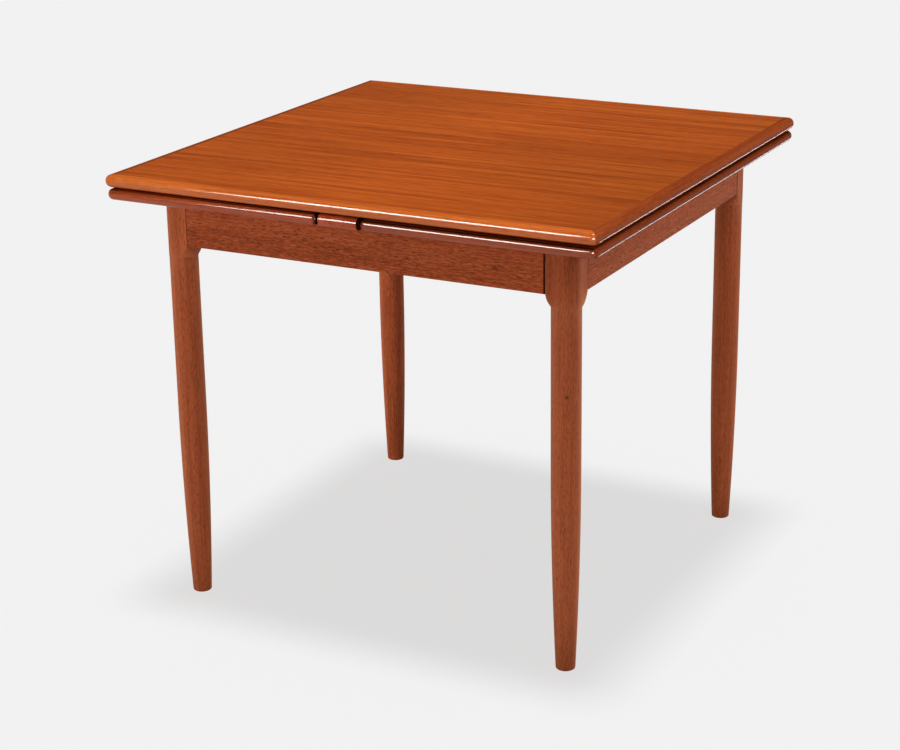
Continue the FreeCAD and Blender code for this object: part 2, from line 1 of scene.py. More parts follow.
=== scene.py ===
"""Looks of the draw-leaf table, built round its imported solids.

Every piece is in metres, in the frame of the solids: the origin on the floor under the middle of
the table, +X the way the right leaf is drawn, the front towards -Y and +Z up.
"""
import json
import logging
import math
from dataclasses import dataclass, field
from enum import Enum
from typing import Mapping, Sequence

import bmesh
import bpy
from mathutils import Matrix, Vector


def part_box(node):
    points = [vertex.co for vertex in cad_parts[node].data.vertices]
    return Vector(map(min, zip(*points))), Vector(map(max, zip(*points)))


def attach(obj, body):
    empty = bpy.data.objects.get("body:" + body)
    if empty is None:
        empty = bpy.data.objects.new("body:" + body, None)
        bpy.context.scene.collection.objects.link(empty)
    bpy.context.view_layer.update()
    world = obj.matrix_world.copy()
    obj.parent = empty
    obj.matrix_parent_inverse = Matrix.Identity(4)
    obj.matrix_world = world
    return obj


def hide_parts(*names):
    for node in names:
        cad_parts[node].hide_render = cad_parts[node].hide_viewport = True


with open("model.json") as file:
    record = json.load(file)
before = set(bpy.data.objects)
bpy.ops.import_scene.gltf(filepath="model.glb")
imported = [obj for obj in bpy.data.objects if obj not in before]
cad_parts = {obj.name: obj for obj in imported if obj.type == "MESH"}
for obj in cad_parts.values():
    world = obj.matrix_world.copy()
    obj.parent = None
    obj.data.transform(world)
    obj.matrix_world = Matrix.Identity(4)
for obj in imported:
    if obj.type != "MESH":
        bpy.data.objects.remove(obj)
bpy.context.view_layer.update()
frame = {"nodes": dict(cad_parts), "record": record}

Pair = tuple[float, float]
Point = tuple[float, float, float]
Colour = tuple[float, float, float]
Shades = tuple[Colour, Colour, Colour]
Socket = bpy.types.NodeSocket
Value = Socket | float | tuple[float, ...]

LOG = logging.getLogger("draw_leaf_table")

# Marks that a mesh carries for its finish (wear, painted shade in gaps and seams, rubbed flats),
# and the way that a screw's head faces.
WEAR = "wear"
PAINTED_SHADE = "stain"
RUBBED = "rubbed"
AIM = "aim"

# Where a noise's values mostly lie, and how a seed shifts the three coordinates.
NOISE_MIDDLE = 0.5
NOISE_SPAN = (0.3, 0.7)
SEED_SHIFT = (1.0, 1.7, 0.6)

# Numbers of the Mix node's inputs and output for colours.
MIX_SHARE, MIX_FIRST, MIX_SECOND, MIX_RESULT = 0, 6, 7, 2
WHITE = (1.0, 1.0, 1.0, 1.0)

# How meshes are cleaned, shaded and eased; angles are degrees.
MERGE_DISTANCE = 2e-6
PLACE_DIGITS = 4
CRISP_ANGLE = 35.0
FLAT_ANGLE = 1.0
EASING_ANGLE = 40.0
EASING_SEGMENTS = 3

BODY_OF = {
    node: body
    for body, nodes in frame["record"]["behaviour"]["bodies"].items()
    for node in nodes
}


class Grain(Enum):
    """Which way the fibres of a piece run; the value orders its coordinates, fibres first."""

    ALONG_X = "XYZ"
    ALONG_Y = "YXZ"
    ALONG_Z = "ZXY"


class Slot(Enum):
    """The record's material slots."""

    TEAK = "teak"
    BEECH = "beech"
    STEEL = "steel"
    FELT = "felt"


class Corner(Enum):
    """The corners of the frame; the value is the leg's place as signs, and its turn in degrees."""

    FRONT_RIGHT = (1, -1, 0)
    BACK_RIGHT = (1, 1, 90)
    BACK_LEFT = (-1, 1, 180)
    FRONT_LEFT = (-1, -1, 270)

    @property
    def label(self) -> str:
        """The corner's name as the nodes write it."""
        return self.name.lower()


class Side(Enum):
    """The ends of the table; the value is how far each lies round from the front, in degrees."""

    LEFT = 270
    RIGHT = 90

    @property
    def label(self) -> str:
        """The side's name as the nodes write it."""
        return self.name.lower()


def toned(parts: Sequence[float], tone: float) -> tuple[float, ...]:
    """Return a colour made lighter or darker, or a shift made longer."""
    return tuple(tone * part for part in parts)


class Graph:
    """A node tree, filled in plain steps."""

    def __init__(self, tree: bpy.types.NodeTree) -> None:
        """Start with the tree empty."""
        self.tree = tree
        tree.nodes.clear()

    def feed(self, target: Socket, source: Value) -> None:
        """Give an input either a link or a plain value.

        Args:
            target: The input socket.
            source: An output socket, or a value.
        """
        if isinstance(source, Socket):
            self.tree.links.new(source, target)
        else:
            target.default_value = source

    def node(
        self, kind: str, inputs: Mapping[str | int, Value] | None = None, **settings: object
    ) -> bpy.types.Node:
        """Add a node.

        Args:
            kind: The node's type.
            inputs: What goes into it, by the inputs' names or numbers.
            settings: Its properties by name.

        Returns:
            The new node.
        """
        made = self.tree.nodes.new(kind)
        for name, value in settings.items():
            setattr(made, name, value)
        for name, value in (inputs or {}).items():
            self.feed(made.inputs[name], value)
        return made

    def math(self, operation: str, first: Value, second: Value = 0.0) -> Socket:
        """Return the result of a sum."""
        return self.node("ShaderNodeMath", {0: first, 1: second}, operation=operation).outputs[0]

    def join(self, x: Value, y: Value, z: Value) -> Socket:
        """Return three numbers as a vector."""
        return self.node("ShaderNodeCombineXYZ", {0: x, 1: y, 2: z}).outputs[0]

    def split(self, vector: Socket) -> bpy.types.NodeOutputs:
        """Return the three numbers of a vector, by their axes."""
        return self.node("ShaderNodeSeparateXYZ", {0: vector}).outputs


class ShaderGraph(Graph):
    """The node tree of one material or of the surroundings."""

    def __init__(
        self,
        owner: bpy.types.Material | bpy.types.World,
        shader: str = "ShaderNodeBsdfPrincipled",
        output: str = "ShaderNodeOutputMaterial",
    ) -> None:
        """Start with a shader and its output.

        Args:
            owner: What the tree belongs to.
            shader: The shader's type.
            output: The output's type.
        """
        owner.use_nodes = True
        super().__init__(owner.node_tree)
        self.surface = self.node(shader)
        self.node(output, {"Surface": self.surface.outputs[0]})

    def shade(self, values: Mapping[str, Value]) -> None:
        """Set or link inputs of the shader, by name."""
        for name, value in values.items():
            self.feed(self.surface.inputs[name], value)

    def own_place(self) -> Socket:
        """Return the piece's own coordinates."""
        return self.node("ShaderNodeTexCoord").outputs["Object"]

    def along(self, grain: Grain) -> Socket:
        """Return the piece's own coordinate along its fibres."""
        return self.split(self.own_place())[grain.value[0]]

    def mark(self, name: str) -> Socket:
        """Return a mark of the mesh, from 0 to 1."""
        return self.node("ShaderNodeAttribute", attribute_name=name).outputs["Fac"]

    def vector(self, operation: str, first: Value, second: Value) -> Socket:
        """Return the result of a sum of vectors."""
        terms = {0: first, 1: second}
        return self.node("ShaderNodeVectorMath", terms, operation=operation).outputs[0]

    def noise(self, place: Socket, pitch: Pair, detail: float = 2.0, warp: float = 0.0) -> Socket:
        """Add a noise.

        Args:
            place: The coordinates, along the fibres first.
            pitch: How often it repeats in a metre, along and across the fibres.
            detail: How many finer layers it has.
            warp: How much it twists.

        Returns:
            Its value, from about 0.2 to 0.8.
        """
        along, across = pitch
        stretched = self.vector("MULTIPLY", place, (along, across, across))
        inputs = {"Vector": stretched, "Scale": 1.0, "Detail": detail, "Distortion": warp}
        return self.node("ShaderNodeTexNoise", inputs).outputs[0]

    def spread(self, value: Socket, source: Pair, target: Pair = (0.0, 1.0)) -> Socket:
        """Map a range of a value onto another, held at its ends.

        Args:
            value: The value.
            source: The range that it is read over.
            target: What the range's ends become.

        Returns:
            The result.
        """
        names = ("From Min", "From Max", "To Min", "To Max")
        inputs = {"Value": value, **dict(zip(names, (*source, *target)))}
        return self.node("ShaderNodeMapRange", inputs).outputs[0]

    def ramp(self, value: Socket, stops: Sequence[tuple[float, Colour]]) -> Socket:
        """Turn a value into a colour.

        Args:
            value: The value.
            stops: Places and their colours, in order.

        Returns:
            The colour.
        """
        made = self.node("ShaderNodeValToRGB", {"Fac": value})
        elements = made.color_ramp.elements
        for number, (place, colour) in enumerate(stops):
            element = elements[number] if number < 2 else elements.new(place)
            element.position = place
            element.color = (*colour, 1.0)
        return made.outputs["Color"]

    def blend(self, share: Value, first: Value, second: Value, mode: str = "MIX") -> Socket:
        """Mix two colours.

        Args:
            share: How much of the second.
            first: The first colour.
            second: The second colour.
            mode: How they mix.

        Returns:
            The mixed colour.
        """
        colours = [part if isinstance(part, Socket) else (*part, 1.0) for part in (first, second)]
        inputs = {MIX_SHARE: share, MIX_FIRST: colours[0], MIX_SECOND: colours[1]}
        made = self.node("ShaderNodeMix", inputs, data_type="RGBA", blend_type=mode)
        return made.outputs[MIX_RESULT]

    def bump(self, height: Socket, relief: Pair, under: Socket | None = None) -> Socket:
        """Add a bump.

        Args:
            height: The height.
            relief: How much of it shows, and how high it stands in metres.
            under: The normal of a bump below it.

        Returns:
            The normal.
        """
        inputs = {"Strength": relief[0], "Distance": relief[1], "Height": height}
        if under is not None:
            inputs["Normal"] = under
        return self.node("ShaderNodeBump", inputs).outputs["Normal"]

    def weighted(self, layers: Sequence[Socket], weights: Sequence[float]) -> Socket:
        """Add layers up by their weights.

        Args:
            layers: The layers.
            weights: Their weights.

        Returns:
            The sum.
        """
        first, *others = (self.math("MULTIPLY", *pair) for pair in zip(layers, weights))
        for other in others:
            first = self.math("ADD", first, other)
        return first

    def seen(self) -> Socket:
        """Tell what the camera and reflections see from where light only bounces.

        Returns:
            1 where it is seen, otherwise 0.
        """
        path = self.node("ShaderNodeLightPath").outputs
        plain = self.math("MAXIMUM", path["Is Camera Ray"], path["Is Glossy Ray"])
        return self.math("MAXIMUM", plain, path["Is Transmission Ray"])

    def along_grain(self, grain: Grain, seed: float) -> Socket:
        """Read the piece's own coordinates, turned so that the fibres run along the first.

        Args:
            grain: Which way the fibres run.
            seed: A shift that gives each piece its own figure.

        Returns:
            The coordinates.
        """
        parts = self.split(self.own_place())
        turned = self.join(*(parts[axis] for axis in grain.value))
        return self.vector("ADD", turned, toned(SEED_SHIFT, seed))


@dataclass(frozen=True)
class Finish:
    """A finish, whose material is made on first use."""

    label: str

    def material(self) -> bpy.types.Material:
        """Return the finish's material, so that pieces of one finish share it.

        Returns:
            The material.
        """
        made = bpy.data.materials.get(self.label)
        if made is None:
            made = bpy.data.materials.new(self.label)
            self.paint(ShaderGraph(made))
        return made

    def paint(self, graph: ShaderGraph) -> None:
        """Fill the material's tree."""
        raise NotImplementedError


@dataclass(frozen=True)
class Figure:
    """How teak is figured; a pitch is its repeats in a metre along and across the fibres."""

    bands: Pair = (1.0, 40.0)
    streaks: Pair = (16.0, 380.0)
    threads: Pair = (95.0, 720.0)
    details: tuple[float, float, float] = (3.0, 3.0, 2.0)
    weights: tuple[float, float, float] = (0.22, 0.28, 0.50)
    reach: float = 0.12
    drift: Pair = (1.3, 6.0)
    drift_shares: Pair = (0.016, 0.012)
    lines: Pair = (1.6, 90.0)
    line_middle: float = 0.56
    line_share: float = 0.28
    line_width: float = 0.025
    pores: Pair = (120.0, 760.0)
    pore_span: Pair = (0.55, 0.68)
    pore_share: float = 0.60
    patches: Pair = (2.2, 3.1)
    patch_levels: Pair = (0.92, 1.08)
    sweep: Pair = (9.0, 220.0)
    rubbing: Pair = (70.0, 160.0)
    rubbing_span: Pair = (0.42, 0.62)


VENEER_FIGURE = Figure(
    bands=(0.9, 42.0), streaks=(2.1, 130.0), threads=(7.0, 420.0), weights=(0.28, 0.40, 0.32),
    reach=0.13, lines=(0.8, 44.0), line_share=0.36, line_width=0.03, pores=(30.0, 420.0),
    pore_share=0.30,
)
EDGE_FIGURE = Figure(
    streaks=(3.0, 240.0), threads=(14.0, 700.0), weights=(0.35, 0.40, 0.25), reach=0.15,
    line_share=0.0, pores=(45.0, 900.0), pore_share=0.35,
)
APRON_FIGURE = Figure(reach=0.105, pore_share=0.70)
LEG_FIGURE = Figure(
    bands=(1.0, 60.0), streaks=(9.0, 300.0), weights=(0.40, 0.30, 0.30), reach=0.14,
    line_share=0.26, pore_share=0.55,
)


@dataclass(frozen=True)
class Teak(Finish):
    """Oiled and lacquered teak: bands, streaks, dark lines and open pores along the fibres."""

    grain: Grain
    shades: Shades
    figure: Figure
    seed: float
    roughness: float = 0.48
    roughness_spread: Pair = (-0.05, 0.06)
    pore_roughness: float = 0.18
    worn_roughness: float = 0.12
    gloss: float = 0.03
    coat: float = 0.0
    coat_roughness: float = 0.12
    sheen: float = 0.0
    sheen_roughness: float = 0.55
    sheen_tint: Colour = (1.0, 0.40, 0.20)
    sweep_relief: Pair = (0.10, 0.0005)
    coat_relief: Pair = (0.10, 0.0004)
    pore_relief: Pair = (0.22, 0.0002)
    fade: tuple[float, ...] = ()
    fade_reach: float = 0.42
    knot: Point | None = None
    knot_reach: Pair = (0.0012, 0.0045)
    knot_share: float = 0.85
    joints: tuple[Pair, ...] = ()
    joint_fade: float = 0.4
    worn_share: float = 0.4
    line_tone: float = 0.6
    pore_tone: float = 0.4
    worn_tone: float = 1.25
    joint_tone: float = 0.08
    # How dark the painted shade in gaps and seams is.
    stain_tone: float = 0.05

    def paint(self, graph: ShaderGraph) -> None:
        """Lay the figure, the marks of use, the painted shade and the lacquer.

        Args:
            graph: The tree to fill.
        """
        figure = self.figure
        place = graph.along_grain(self.grain, self.seed)
        drift = graph.math("SUBTRACT", graph.noise(place, figure.drift), NOISE_MIDDLE)
        shifts = [graph.math("MULTIPLY", drift, share) for share in figure.drift_shares]
        bent = graph.vector("ADD", place, graph.join(0.0, *shifts))
        pitches = (figure.bands, figure.streaks, figure.threads)
        layers = [graph.noise(bent, *layer) for layer in zip(pitches, figure.details)]
        pore = graph.spread(graph.noise(bent, figure.pores, detail=1.0), figure.pore_span)
        rubbing = graph.noise(place, figure.rubbing, detail=3.0)
        worn = graph.math("MULTIPLY", graph.mark(WEAR), graph.spread(rubbing, figure.rubbing_span))
        stain = graph.mark(PAINTED_SHADE)

        tone = graph.weighted(layers, figure.weights)
        colour = self.figured(graph, tone, bent, pore)
        patch = graph.spread(graph.noise(place, figure.patches), NOISE_SPAN, figure.patch_levels)
        grey = graph.node("ShaderNodeCombineColor", {0: patch, 1: patch, 2: patch}).outputs[0]
        colour = graph.blend(1.0, colour, grey, "MULTIPLY")
        colour = self.aged(graph, colour, worn)
        # Painted shade: darken where the mesh marks gaps and seams.
        colour = graph.blend(stain, colour, toned(self.shades[2], self.stain_tone))

        ends = tuple(self.roughness + part for part in self.roughness_spread)
        rough = graph.spread(layers[1], NOISE_SPAN, ends)
        for mark, share in ((pore, self.pore_roughness), (worn, self.worn_roughness)):
            rough = graph.math("ADD", rough, graph.math("MULTIPLY", mark, share))
        sweep = graph.noise(bent, figure.sweep)
        normal = graph.bump(sweep, self.sweep_relief)
        clean = graph.math("SUBTRACT", 1.0, graph.math("MAXIMUM", stain, graph.mark(RUBBED)))
        graph.shade({
            "Base Color": colour,
            "Roughness": rough,
            "Normal": graph.bump(graph.math("SUBTRACT", 1.0, pore), self.pore_relief, normal),
            "Specular IOR Level": self.gloss,
            "Coat Weight": graph.math("MULTIPLY", clean, self.coat) if self.coat else 0.0,
            "Coat Roughness": self.coat_roughness,
            "Coat Normal": graph.bump(sweep, self.coat_relief),
            "Sheen Weight": self.sheen,
            "Sheen Roughness": self.sheen_roughness,
            "Sheen Tint": (*self.sheen_tint, 1.0),
        })

    def figured(self, graph: ShaderGraph, tone: Socket, bent: Socket, pore: Socket) -> Socket:
        """Return the colour of the fresh wood.

        Args:
            graph: The tree to fill.
            tone: How light the wood is, about the noise's middle.
            bent: The coordinates along the bent fibres.
            pore: Where the open pores lie.

        Returns:
            The colour.
        """
        pale, middle, dark = self.shades
        figure = self.figure
        colour = graph.ramp(tone, (
            (NOISE_MIDDLE - figure.reach, dark),
            (NOISE_MIDDLE, middle),
            (NOISE_MIDDLE + figure.reach, pale),
        ))
        line = graph.noise(bent, figure.lines, detail=1.5)
        line = graph.math("ABSOLUTE", graph.math("SUBTRACT", line, figure.line_middle))
        line = graph.spread(line, (0.0, figure.line_width), (figure.line_share, 0.0))
        colour = graph.blend(line, colour, toned(dark, self.line_tone))
        pore = graph.math("MULTIPLY", pore, figure.pore_share)
        return graph.blend(pore, colour, toned(dark, self.pore_tone))

    def aged(self, graph: ShaderGraph, colour: Socket, worn: Socket) -> Socket:
        """Add a tone along the grain, a knot, rubbed edges and dark joints to the wood's colour;
        the wider joint band is painted shade.

        Args:
            graph: The tree to fill.
            colour: The wood's colour.
            worn: Where the edges are rubbed.

        Returns:
            The colour.
        """
        pale, _, dark = self.shades
        # A tone that changes along the grain, from level to level between the ends.
        if self.fade:
            ends = (-self.fade_reach, self.fade_reach)
            place = graph.spread(graph.along(self.grain), ends)
            last = len(self.fade) - 1
            stops = [(step / last, (level,) * 3) for step, level in enumerate(self.fade)]
            colour = graph.blend(1.0, colour, graph.ramp(place, stops), "MULTIPLY")
        if self.knot:
            terms = {0: graph.own_place(), 1: self.knot}
            away = graph.node("ShaderNodeVectorMath", terms, operation="DISTANCE").outputs["Value"]
            share = graph.spread(away, self.knot_reach, (self.knot_share, 0.0))
            colour = graph.blend(share, colour, toned(dark, self.pore_tone))
        share = graph.math("MULTIPLY", worn, self.worn_share)
        colour = graph.blend(share, colour, toned(pale, self.worn_tone))
        # Dark joint lines at the ends; the wider band at the + end is painted shade cast by the
        # leg.
        for end, width in self.joints:
            start = end - math.copysign(width, end)
            reach = (start, start + self.joint_fade * (end - start))
            joint_darkening = graph.spread(graph.along(self.grain), reach)
            colour = graph.blend(joint_darkening, colour, toned(dark, self.joint_tone))
        return colour


@dataclass(frozen=True)
class Beech(Finish):
    """Bare planed beech: pale pinkish wood with short brown flecks and some grime."""

    grain: Grain
    seed: float
    pale: Colour = (0.56, 0.36, 0.20)
    dark: Colour = (0.42, 0.25, 0.13)
    fleck: Colour = (0.24, 0.12, 0.06)
    bands: Pair = (1.5, 60.0)
    threads: Pair = (12.0, 700.0)
    weights: Pair = (0.6, 0.4)
    tone_span: Pair = (0.36, 0.64)
    flecks: Pair = (160.0, 900.0)
    fleck_span: Pair = (0.62, 0.70)
    fleck_share: float = 0.55
    grime: Pair = (6.0, 9.0)
    grime_span: Pair = (0.45, 0.75)
    grime_share: float = 0.35
    grime_tone: float = 0.7
    roughness: Pair = (0.52, 0.68)
    planing: Pair = (20.0, 1200.0)
    planing_relief: Pair = (0.25, 0.0002)
    gloss: float = 0.3

    def paint(self, graph: ShaderGraph) -> None:
        """Lay bands, flecks and grime.

        Args:
            graph: The tree to fill.
        """
        place = graph.along_grain(self.grain, self.seed)
        bands = graph.noise(place, self.bands, detail=3.0, warp=0.2)
        threads = graph.noise(place, self.threads)
        tone = graph.weighted((bands, threads), self.weights)
        colour = graph.ramp(tone, tuple(zip(self.tone_span, (self.dark, self.pale))))
        fleck = graph.spread(graph.noise(place, self.flecks, detail=1.0), self.fleck_span)
        colour = graph.blend(graph.math("MULTIPLY", fleck, self.fleck_share), colour, self.fleck)
        grime = graph.noise(place, self.grime, detail=3.0)
        grime = graph.spread(grime, self.grime_span, (0.0, self.grime_share))
        graph.shade({
            "Base Color": graph.blend(grime, colour, toned(self.dark, self.grime_tone)),
            "Roughness": graph.spread(threads, NOISE_SPAN, self.roughness),
            "Normal": graph.bump(graph.noise(place, self.planing), self.planing_relief),
            "Specular IOR Level": self.gloss,
        })


@dataclass(frozen=True)
class Felt(Finish):
    """Pressed wool felt, matt and fibrous."""

    deep: Colour = (0.010, 0.014, 0.010)
    light: Colour = (0.035, 0.045, 0.034)
    fibres: Pair = (900.0, 1300.0)
    matting: Pair = (120.0, 150.0)
    weights: Pair = (0.6, 0.4)
    tone_span: Pair = (0.35, 0.65)
    roughness: Pair = (0.85, 1.0)
    relief: Pair = (0.6, 0.0006)
    gloss: float = 0.1
    sheen: float = 0.4

    def paint(self, graph: ShaderGraph) -> None:
        """Lay matted fibres.

        Args:
            graph: The tree to fill.
        """
        place = graph.along_grain(Grain.ALONG_Y, 0.0)
        fibres = graph.noise(place, self.fibres, detail=4.0, warp=1.6)
        matting = graph.noise(place, self.matting, detail=3.0)
        tone = graph.weighted((fibres, matting), self.weights)
        graph.shade({
            "Base Color": graph.ramp(tone, tuple(zip(self.tone_span, (self.deep, self.light)))),
            "Roughness": graph.spread(fibres, NOISE_SPAN, self.roughness),
            "Normal": graph.bump(tone, self.relief),
            "Specular IOR Level": self.gloss,
            "Sheen Weight": self.sheen,
        })


@dataclass(frozen=True)
class Steel(Finish):
    """Plain steel of wood screws, dulled and finely scratched."""

    bright: Colour = (0.52, 0.50, 0.47)
    dull: Colour = (0.27, 0.25, 0.23)
    tarnish: Pair = (260.0, 260.0)
    tone_span: Pair = (0.36, 0.62)
    roughness: Pair = (0.5, 0.28)
    scratches: Pair = (300.0, 4200.0)
    relief: Pair = (0.15, 0.0001)

    def paint(self, graph: ShaderGraph) -> None:
        """Lay tarnish and scratches.

        Args:
            graph: The tree to fill.
        """
        place = graph.along_grain(Grain.ALONG_X, 0.0)
        tarnish = graph.noise(place, self.tarnish, detail=4.0)
        graph.shade({
            "Base Color": graph.ramp(tarnish, tuple(zip(self.tone_span, (self.dull, self.bright)))),
            "Roughness": graph.spread(tarnish, NOISE_SPAN, self.roughness),
            "Normal": graph.bump(graph.noise(place, self.scratches), self.relief),
            "Metallic": 1.0,
        })


@dataclass(frozen=True)
class Box:
    """The lowest and highest corner of a node or of one of its loose solids."""

    low: Vector
    high: Vector

    @property
    def size(self) -> Vector:
        """The box's edges."""
        return self.high - self.low

    @property
    def middle(self) -> Vector:
        """The box's middle."""
        return (self.high + self.low) / 2


def box_of(points: Sequence[Vector]) -> Box:
    """Return the box of some points."""
    return Box(Vector(map(min, *points)), Vector(map(max, *points)))


def node_box(*nodes: str) -> Box:
    """Return the box round some nodes."""
    return box_of([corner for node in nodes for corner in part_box(node)])


def loose_solids(node: str) -> list[list[Vector]]:
    """Return the points of each loose solid of a node.

    Args:
        node: The node's name.

    Returns:
        One list of points for each solid.
    """
    shell = bmesh.new()
    shell.from_mesh(frame["nodes"][node].data)
    bmesh.ops.remove_doubles(shell, verts=shell.verts, dist=MERGE_DISTANCE)
    waiting = set(shell.verts)
    solids = []
    while waiting:
        reached = [waiting.pop()]
        for point in reached:
            for edge in point.link_edges:
                other = edge.other_vert(point)
                if other in waiting:
                    waiting.remove(other)
                    reached.append(other)
        solids.append([point.co.copy() for point in reached])
    shell.free()
    return sorted(solids, key=lambda points: box_of(points).middle.to_tuple(PLACE_DIGITS))


def solid_boxes(node: str) -> list[Box]:
    """Return the box of each loose solid of a node."""
    return [box_of(points) for points in loose_solids(node)]


@dataclass(frozen=True)
class TableSizes:
    """Sizes that several pieces share, read from the solids; lengths are metres."""

    apron: Box = field(default_factory=lambda: node_box("front_apron"))
    leg: Box = field(default_factory=lambda: node_box("front_right_leg"))
    bullnose_flat: float = 0.0004
    corner_softening: float = 0.0017


SIZES = TableSizes()


def rounded_path(start: float, end: float, count: int) -> list[float]:
    """Return evenly spaced angles in radians, between two in degrees."""
    return [math.radians(start + (end - start) * step / count) for step in range(count + 1)]


def rounded_end(radius: float, rounding: float, steps: int) -> list[Pair]:
    """Return the section of a pin's rounded end.

    Args:
        radius: The pin's radius.
        rounding: The radius of the rounding.
        steps: How many steps it has.

    Returns:
        Radius and distance from the end, from the end inwards.
    """
    return [
        (radius - rounding * (1 - math.cos(angle)), rounding * (1 - math.sin(angle)))
        for angle in rounded_path(90, 0, steps)
    ]


def sharpen(mesh: bpy.types.Mesh, degrees: float = CRISP_ANGLE) -> None:
    """Shade a mesh smooth, with edges sharper than an angle kept crisp."""
    mesh.shade_smooth()
    mesh.set_sharp_from_angle(angle=math.radians(degrees))


def add_object(name: str, data: bpy.types.ID) -> bpy.types.Object:
    """Put a new object into the scene.

    Args:
        name: Its name.
        data: Its mesh, light or camera.

    Returns:
        The object.
    """
    made = bpy.data.objects.new(name, data)
    bpy.context.scene.collection.objects.link(made)
    return made


def make_object(
    name: str,
    points: Sequence[Sequence[float]],
    faces: Sequence[Sequence[int]],
    marks: Mapping[str, Sequence[float]] | None = None,
    crisp: float = CRISP_ANGLE,
) -> bpy.types.Object:
    """Make a closed piece from points and faces, its normals outwards.

    Args:
        name: The piece's name.
        points: Its points in the frame of the solids.
        faces: Its faces as numbers of points.
        marks: How worn, darkened by painted shade or rubbed flat each point is, from 0 to 1, by the
            mark's name.
        crisp: The angle above which an edge stays crisp.

    Returns:
        The new object.
    """
    mesh = bpy.data.meshes.new(name)
    mesh.from_pydata([tuple(point) for point in points], [], [tuple(face) for face in faces])
    for mark, values in (marks or {}).items():
        layer = mesh.attributes.new(mark, "FLOAT", "POINT")
        layer.data.foreach_set("value", list(values))
    shell = bmesh.new()
    shell.from_mesh(mesh)
    bmesh.ops.remove_doubles(shell, verts=shell.verts, dist=MERGE_DISTANCE)
    bmesh.ops.recalc_face_normals(shell, faces=shell.faces)
    shell.to_mesh(mesh)
    shell.free()
    sharpen(mesh, crisp)
    return add_object(name, mesh)


def quads(rows: int, columns: int, start: int = 0, closed: bool = True) -> list[Sequence[int]]:
    """Return the faces of a net of points that lie row after row.

    Args:
        rows: How many rows it has.
        columns: How many points a row has.
        start: The number of its first point.
        closed: Whether each row closes into a ring.

    Returns:
        The faces as numbers of points.
    """
    made = []
    for low in range(start, start + (rows - 1) * columns, columns):
        for step in range(columns if closed else columns - 1):
            follow = (step + 1) % columns
            made.append((low + step, low + follow, low + columns + follow, low + columns + step))
    return made


def tube(rows: int, columns: int, start: int = 0) -> list[Sequence[int]]:
    """Return the faces of a net of rings, closed by a face at each end.

    Args:
        rows: How many rings it has.
        columns: How many points a ring has.
        start: The number of its first point.

    Returns:
        The faces as numbers of points.
    """
    last = start + (rows - 1) * columns
    ends = [range(first, first + columns) for first in (start, last)]
    return quads(rows, columns, start) + ends


def turned_pins(
    name: str, section: Sequence[Pair], pins: Sequence[Box], around: int = 40
) -> bpy.types.Object:
    """Turn a section about upright axes.

    Args:
        name: The piece's name.
        section: Radius and height, from the bottom up.
        pins: The boxes through whose middles the axes run.
        around: How many sides a pin has.

    Returns:
        One object of all the pins.
    """
    points = []
    faces = []
    for axis in (pin.middle for pin in pins):
        faces += tube(len(section), around, len(points))
        for radius, height in section:
            for step in range(around):
                angle = math.tau * step / around
                x, y = axis.x + radius * math.cos(angle), axis.y + radius * math.sin(angle)
                points.append((x, y, height))
    return make_object(name, points, faces)


def settle(piece: bpy.types.Object) -> bpy.types.Object:
    """Turn a piece's live modifiers into its plain mesh.

    Args:
        piece: The object.

    Returns:
        The same object, without modifiers.
    """
    depsgraph = bpy.context.evaluated_depsgraph_get()
    mesh = bpy.data.meshes.new_from_object(piece.evaluated_get(depsgraph))
    piece.modifiers.clear()
    piece.data = mesh
    return piece


def eased_copy(name: str, node: str, easing: float) -> bpy.types.Object:
    """Copy a flat-sided solid and ease its arrises.

    Args:
        name: The new piece's name.
        node: The node to copy.
        easing: The radius of the eased arrises in metres.

    Returns:
        The new object.
    """
    mesh = frame["nodes"][node].data.copy()
    mesh.name = name
    shell = bmesh.new()
    shell.from_mesh(mesh)
    bmesh.ops.remove_doubles(shell, verts=shell.verts, dist=MERGE_DISTANCE)
    flat = math.radians(FLAT_ANGLE)
    bmesh.ops.dissolve_limit(shell, angle_limit=flat, verts=shell.verts, edges=shell.edges)
    shell.to_mesh(mesh)
    shell.free()
    mesh.shade_smooth()
    made = add_object(name, mesh)
    bevel = made.modifiers.new("easing", "BEVEL")
    bevel.width = easing
    bevel.segments = EASING_SEGMENTS
    bevel.limit_method = "ANGLE"
    bevel.angle_limit = math.radians(EASING_ANGLE)
    bevel.harden_normals = True
    return settle(made)


def dress(piece: bpy.types.Object, finish: Finish, node: str) -> bpy.types.Object:
    """Give a new piece its finish, and let it stand for its node on the node's body.

    Args:
        piece: The new object.
        finish: Its finish.
        node: The node that it stands for.

    Returns:
        The same object.
    """
    piece.data.materials.clear()
    piece.data.materials.append(finish.material())
    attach(piece, BODY_OF[node])
    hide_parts(node)
    LOG.info("%s stands for %s", piece.name, node)
    return piece


def dress_eased(node: str, easing: float, finish: Finish) -> None:
    """Ease a node's arrises and dress the piece."""
    dress(eased_copy(node + "_eased", node, easing), finish, node)


def dress_node(node: str, finish: Finish) -> None:
    """Give a solid that is shown as it is its finish.

    Args:
        node: The node's name.
        finish: Its finish.
    """
    shown = frame["nodes"][node]
    shown.data.materials.clear()
    shown.data.materials.append(finish.material())
    LOG.info("%s is shown as it is", node)


class Seam(Enum):
    """Where painted shade darkens a lipping by a gap or seam: where it starts and is full, as
    shares of the thickness.
    """

    UNDER = (0.14, 0.04)
    OVER = (0.74, 0.90)
    SIDE_UNDER = (0.16, 0.06)
    SIDE_OVER = (0.88, 0.97)
    INNER = (-0.2, -0.1)


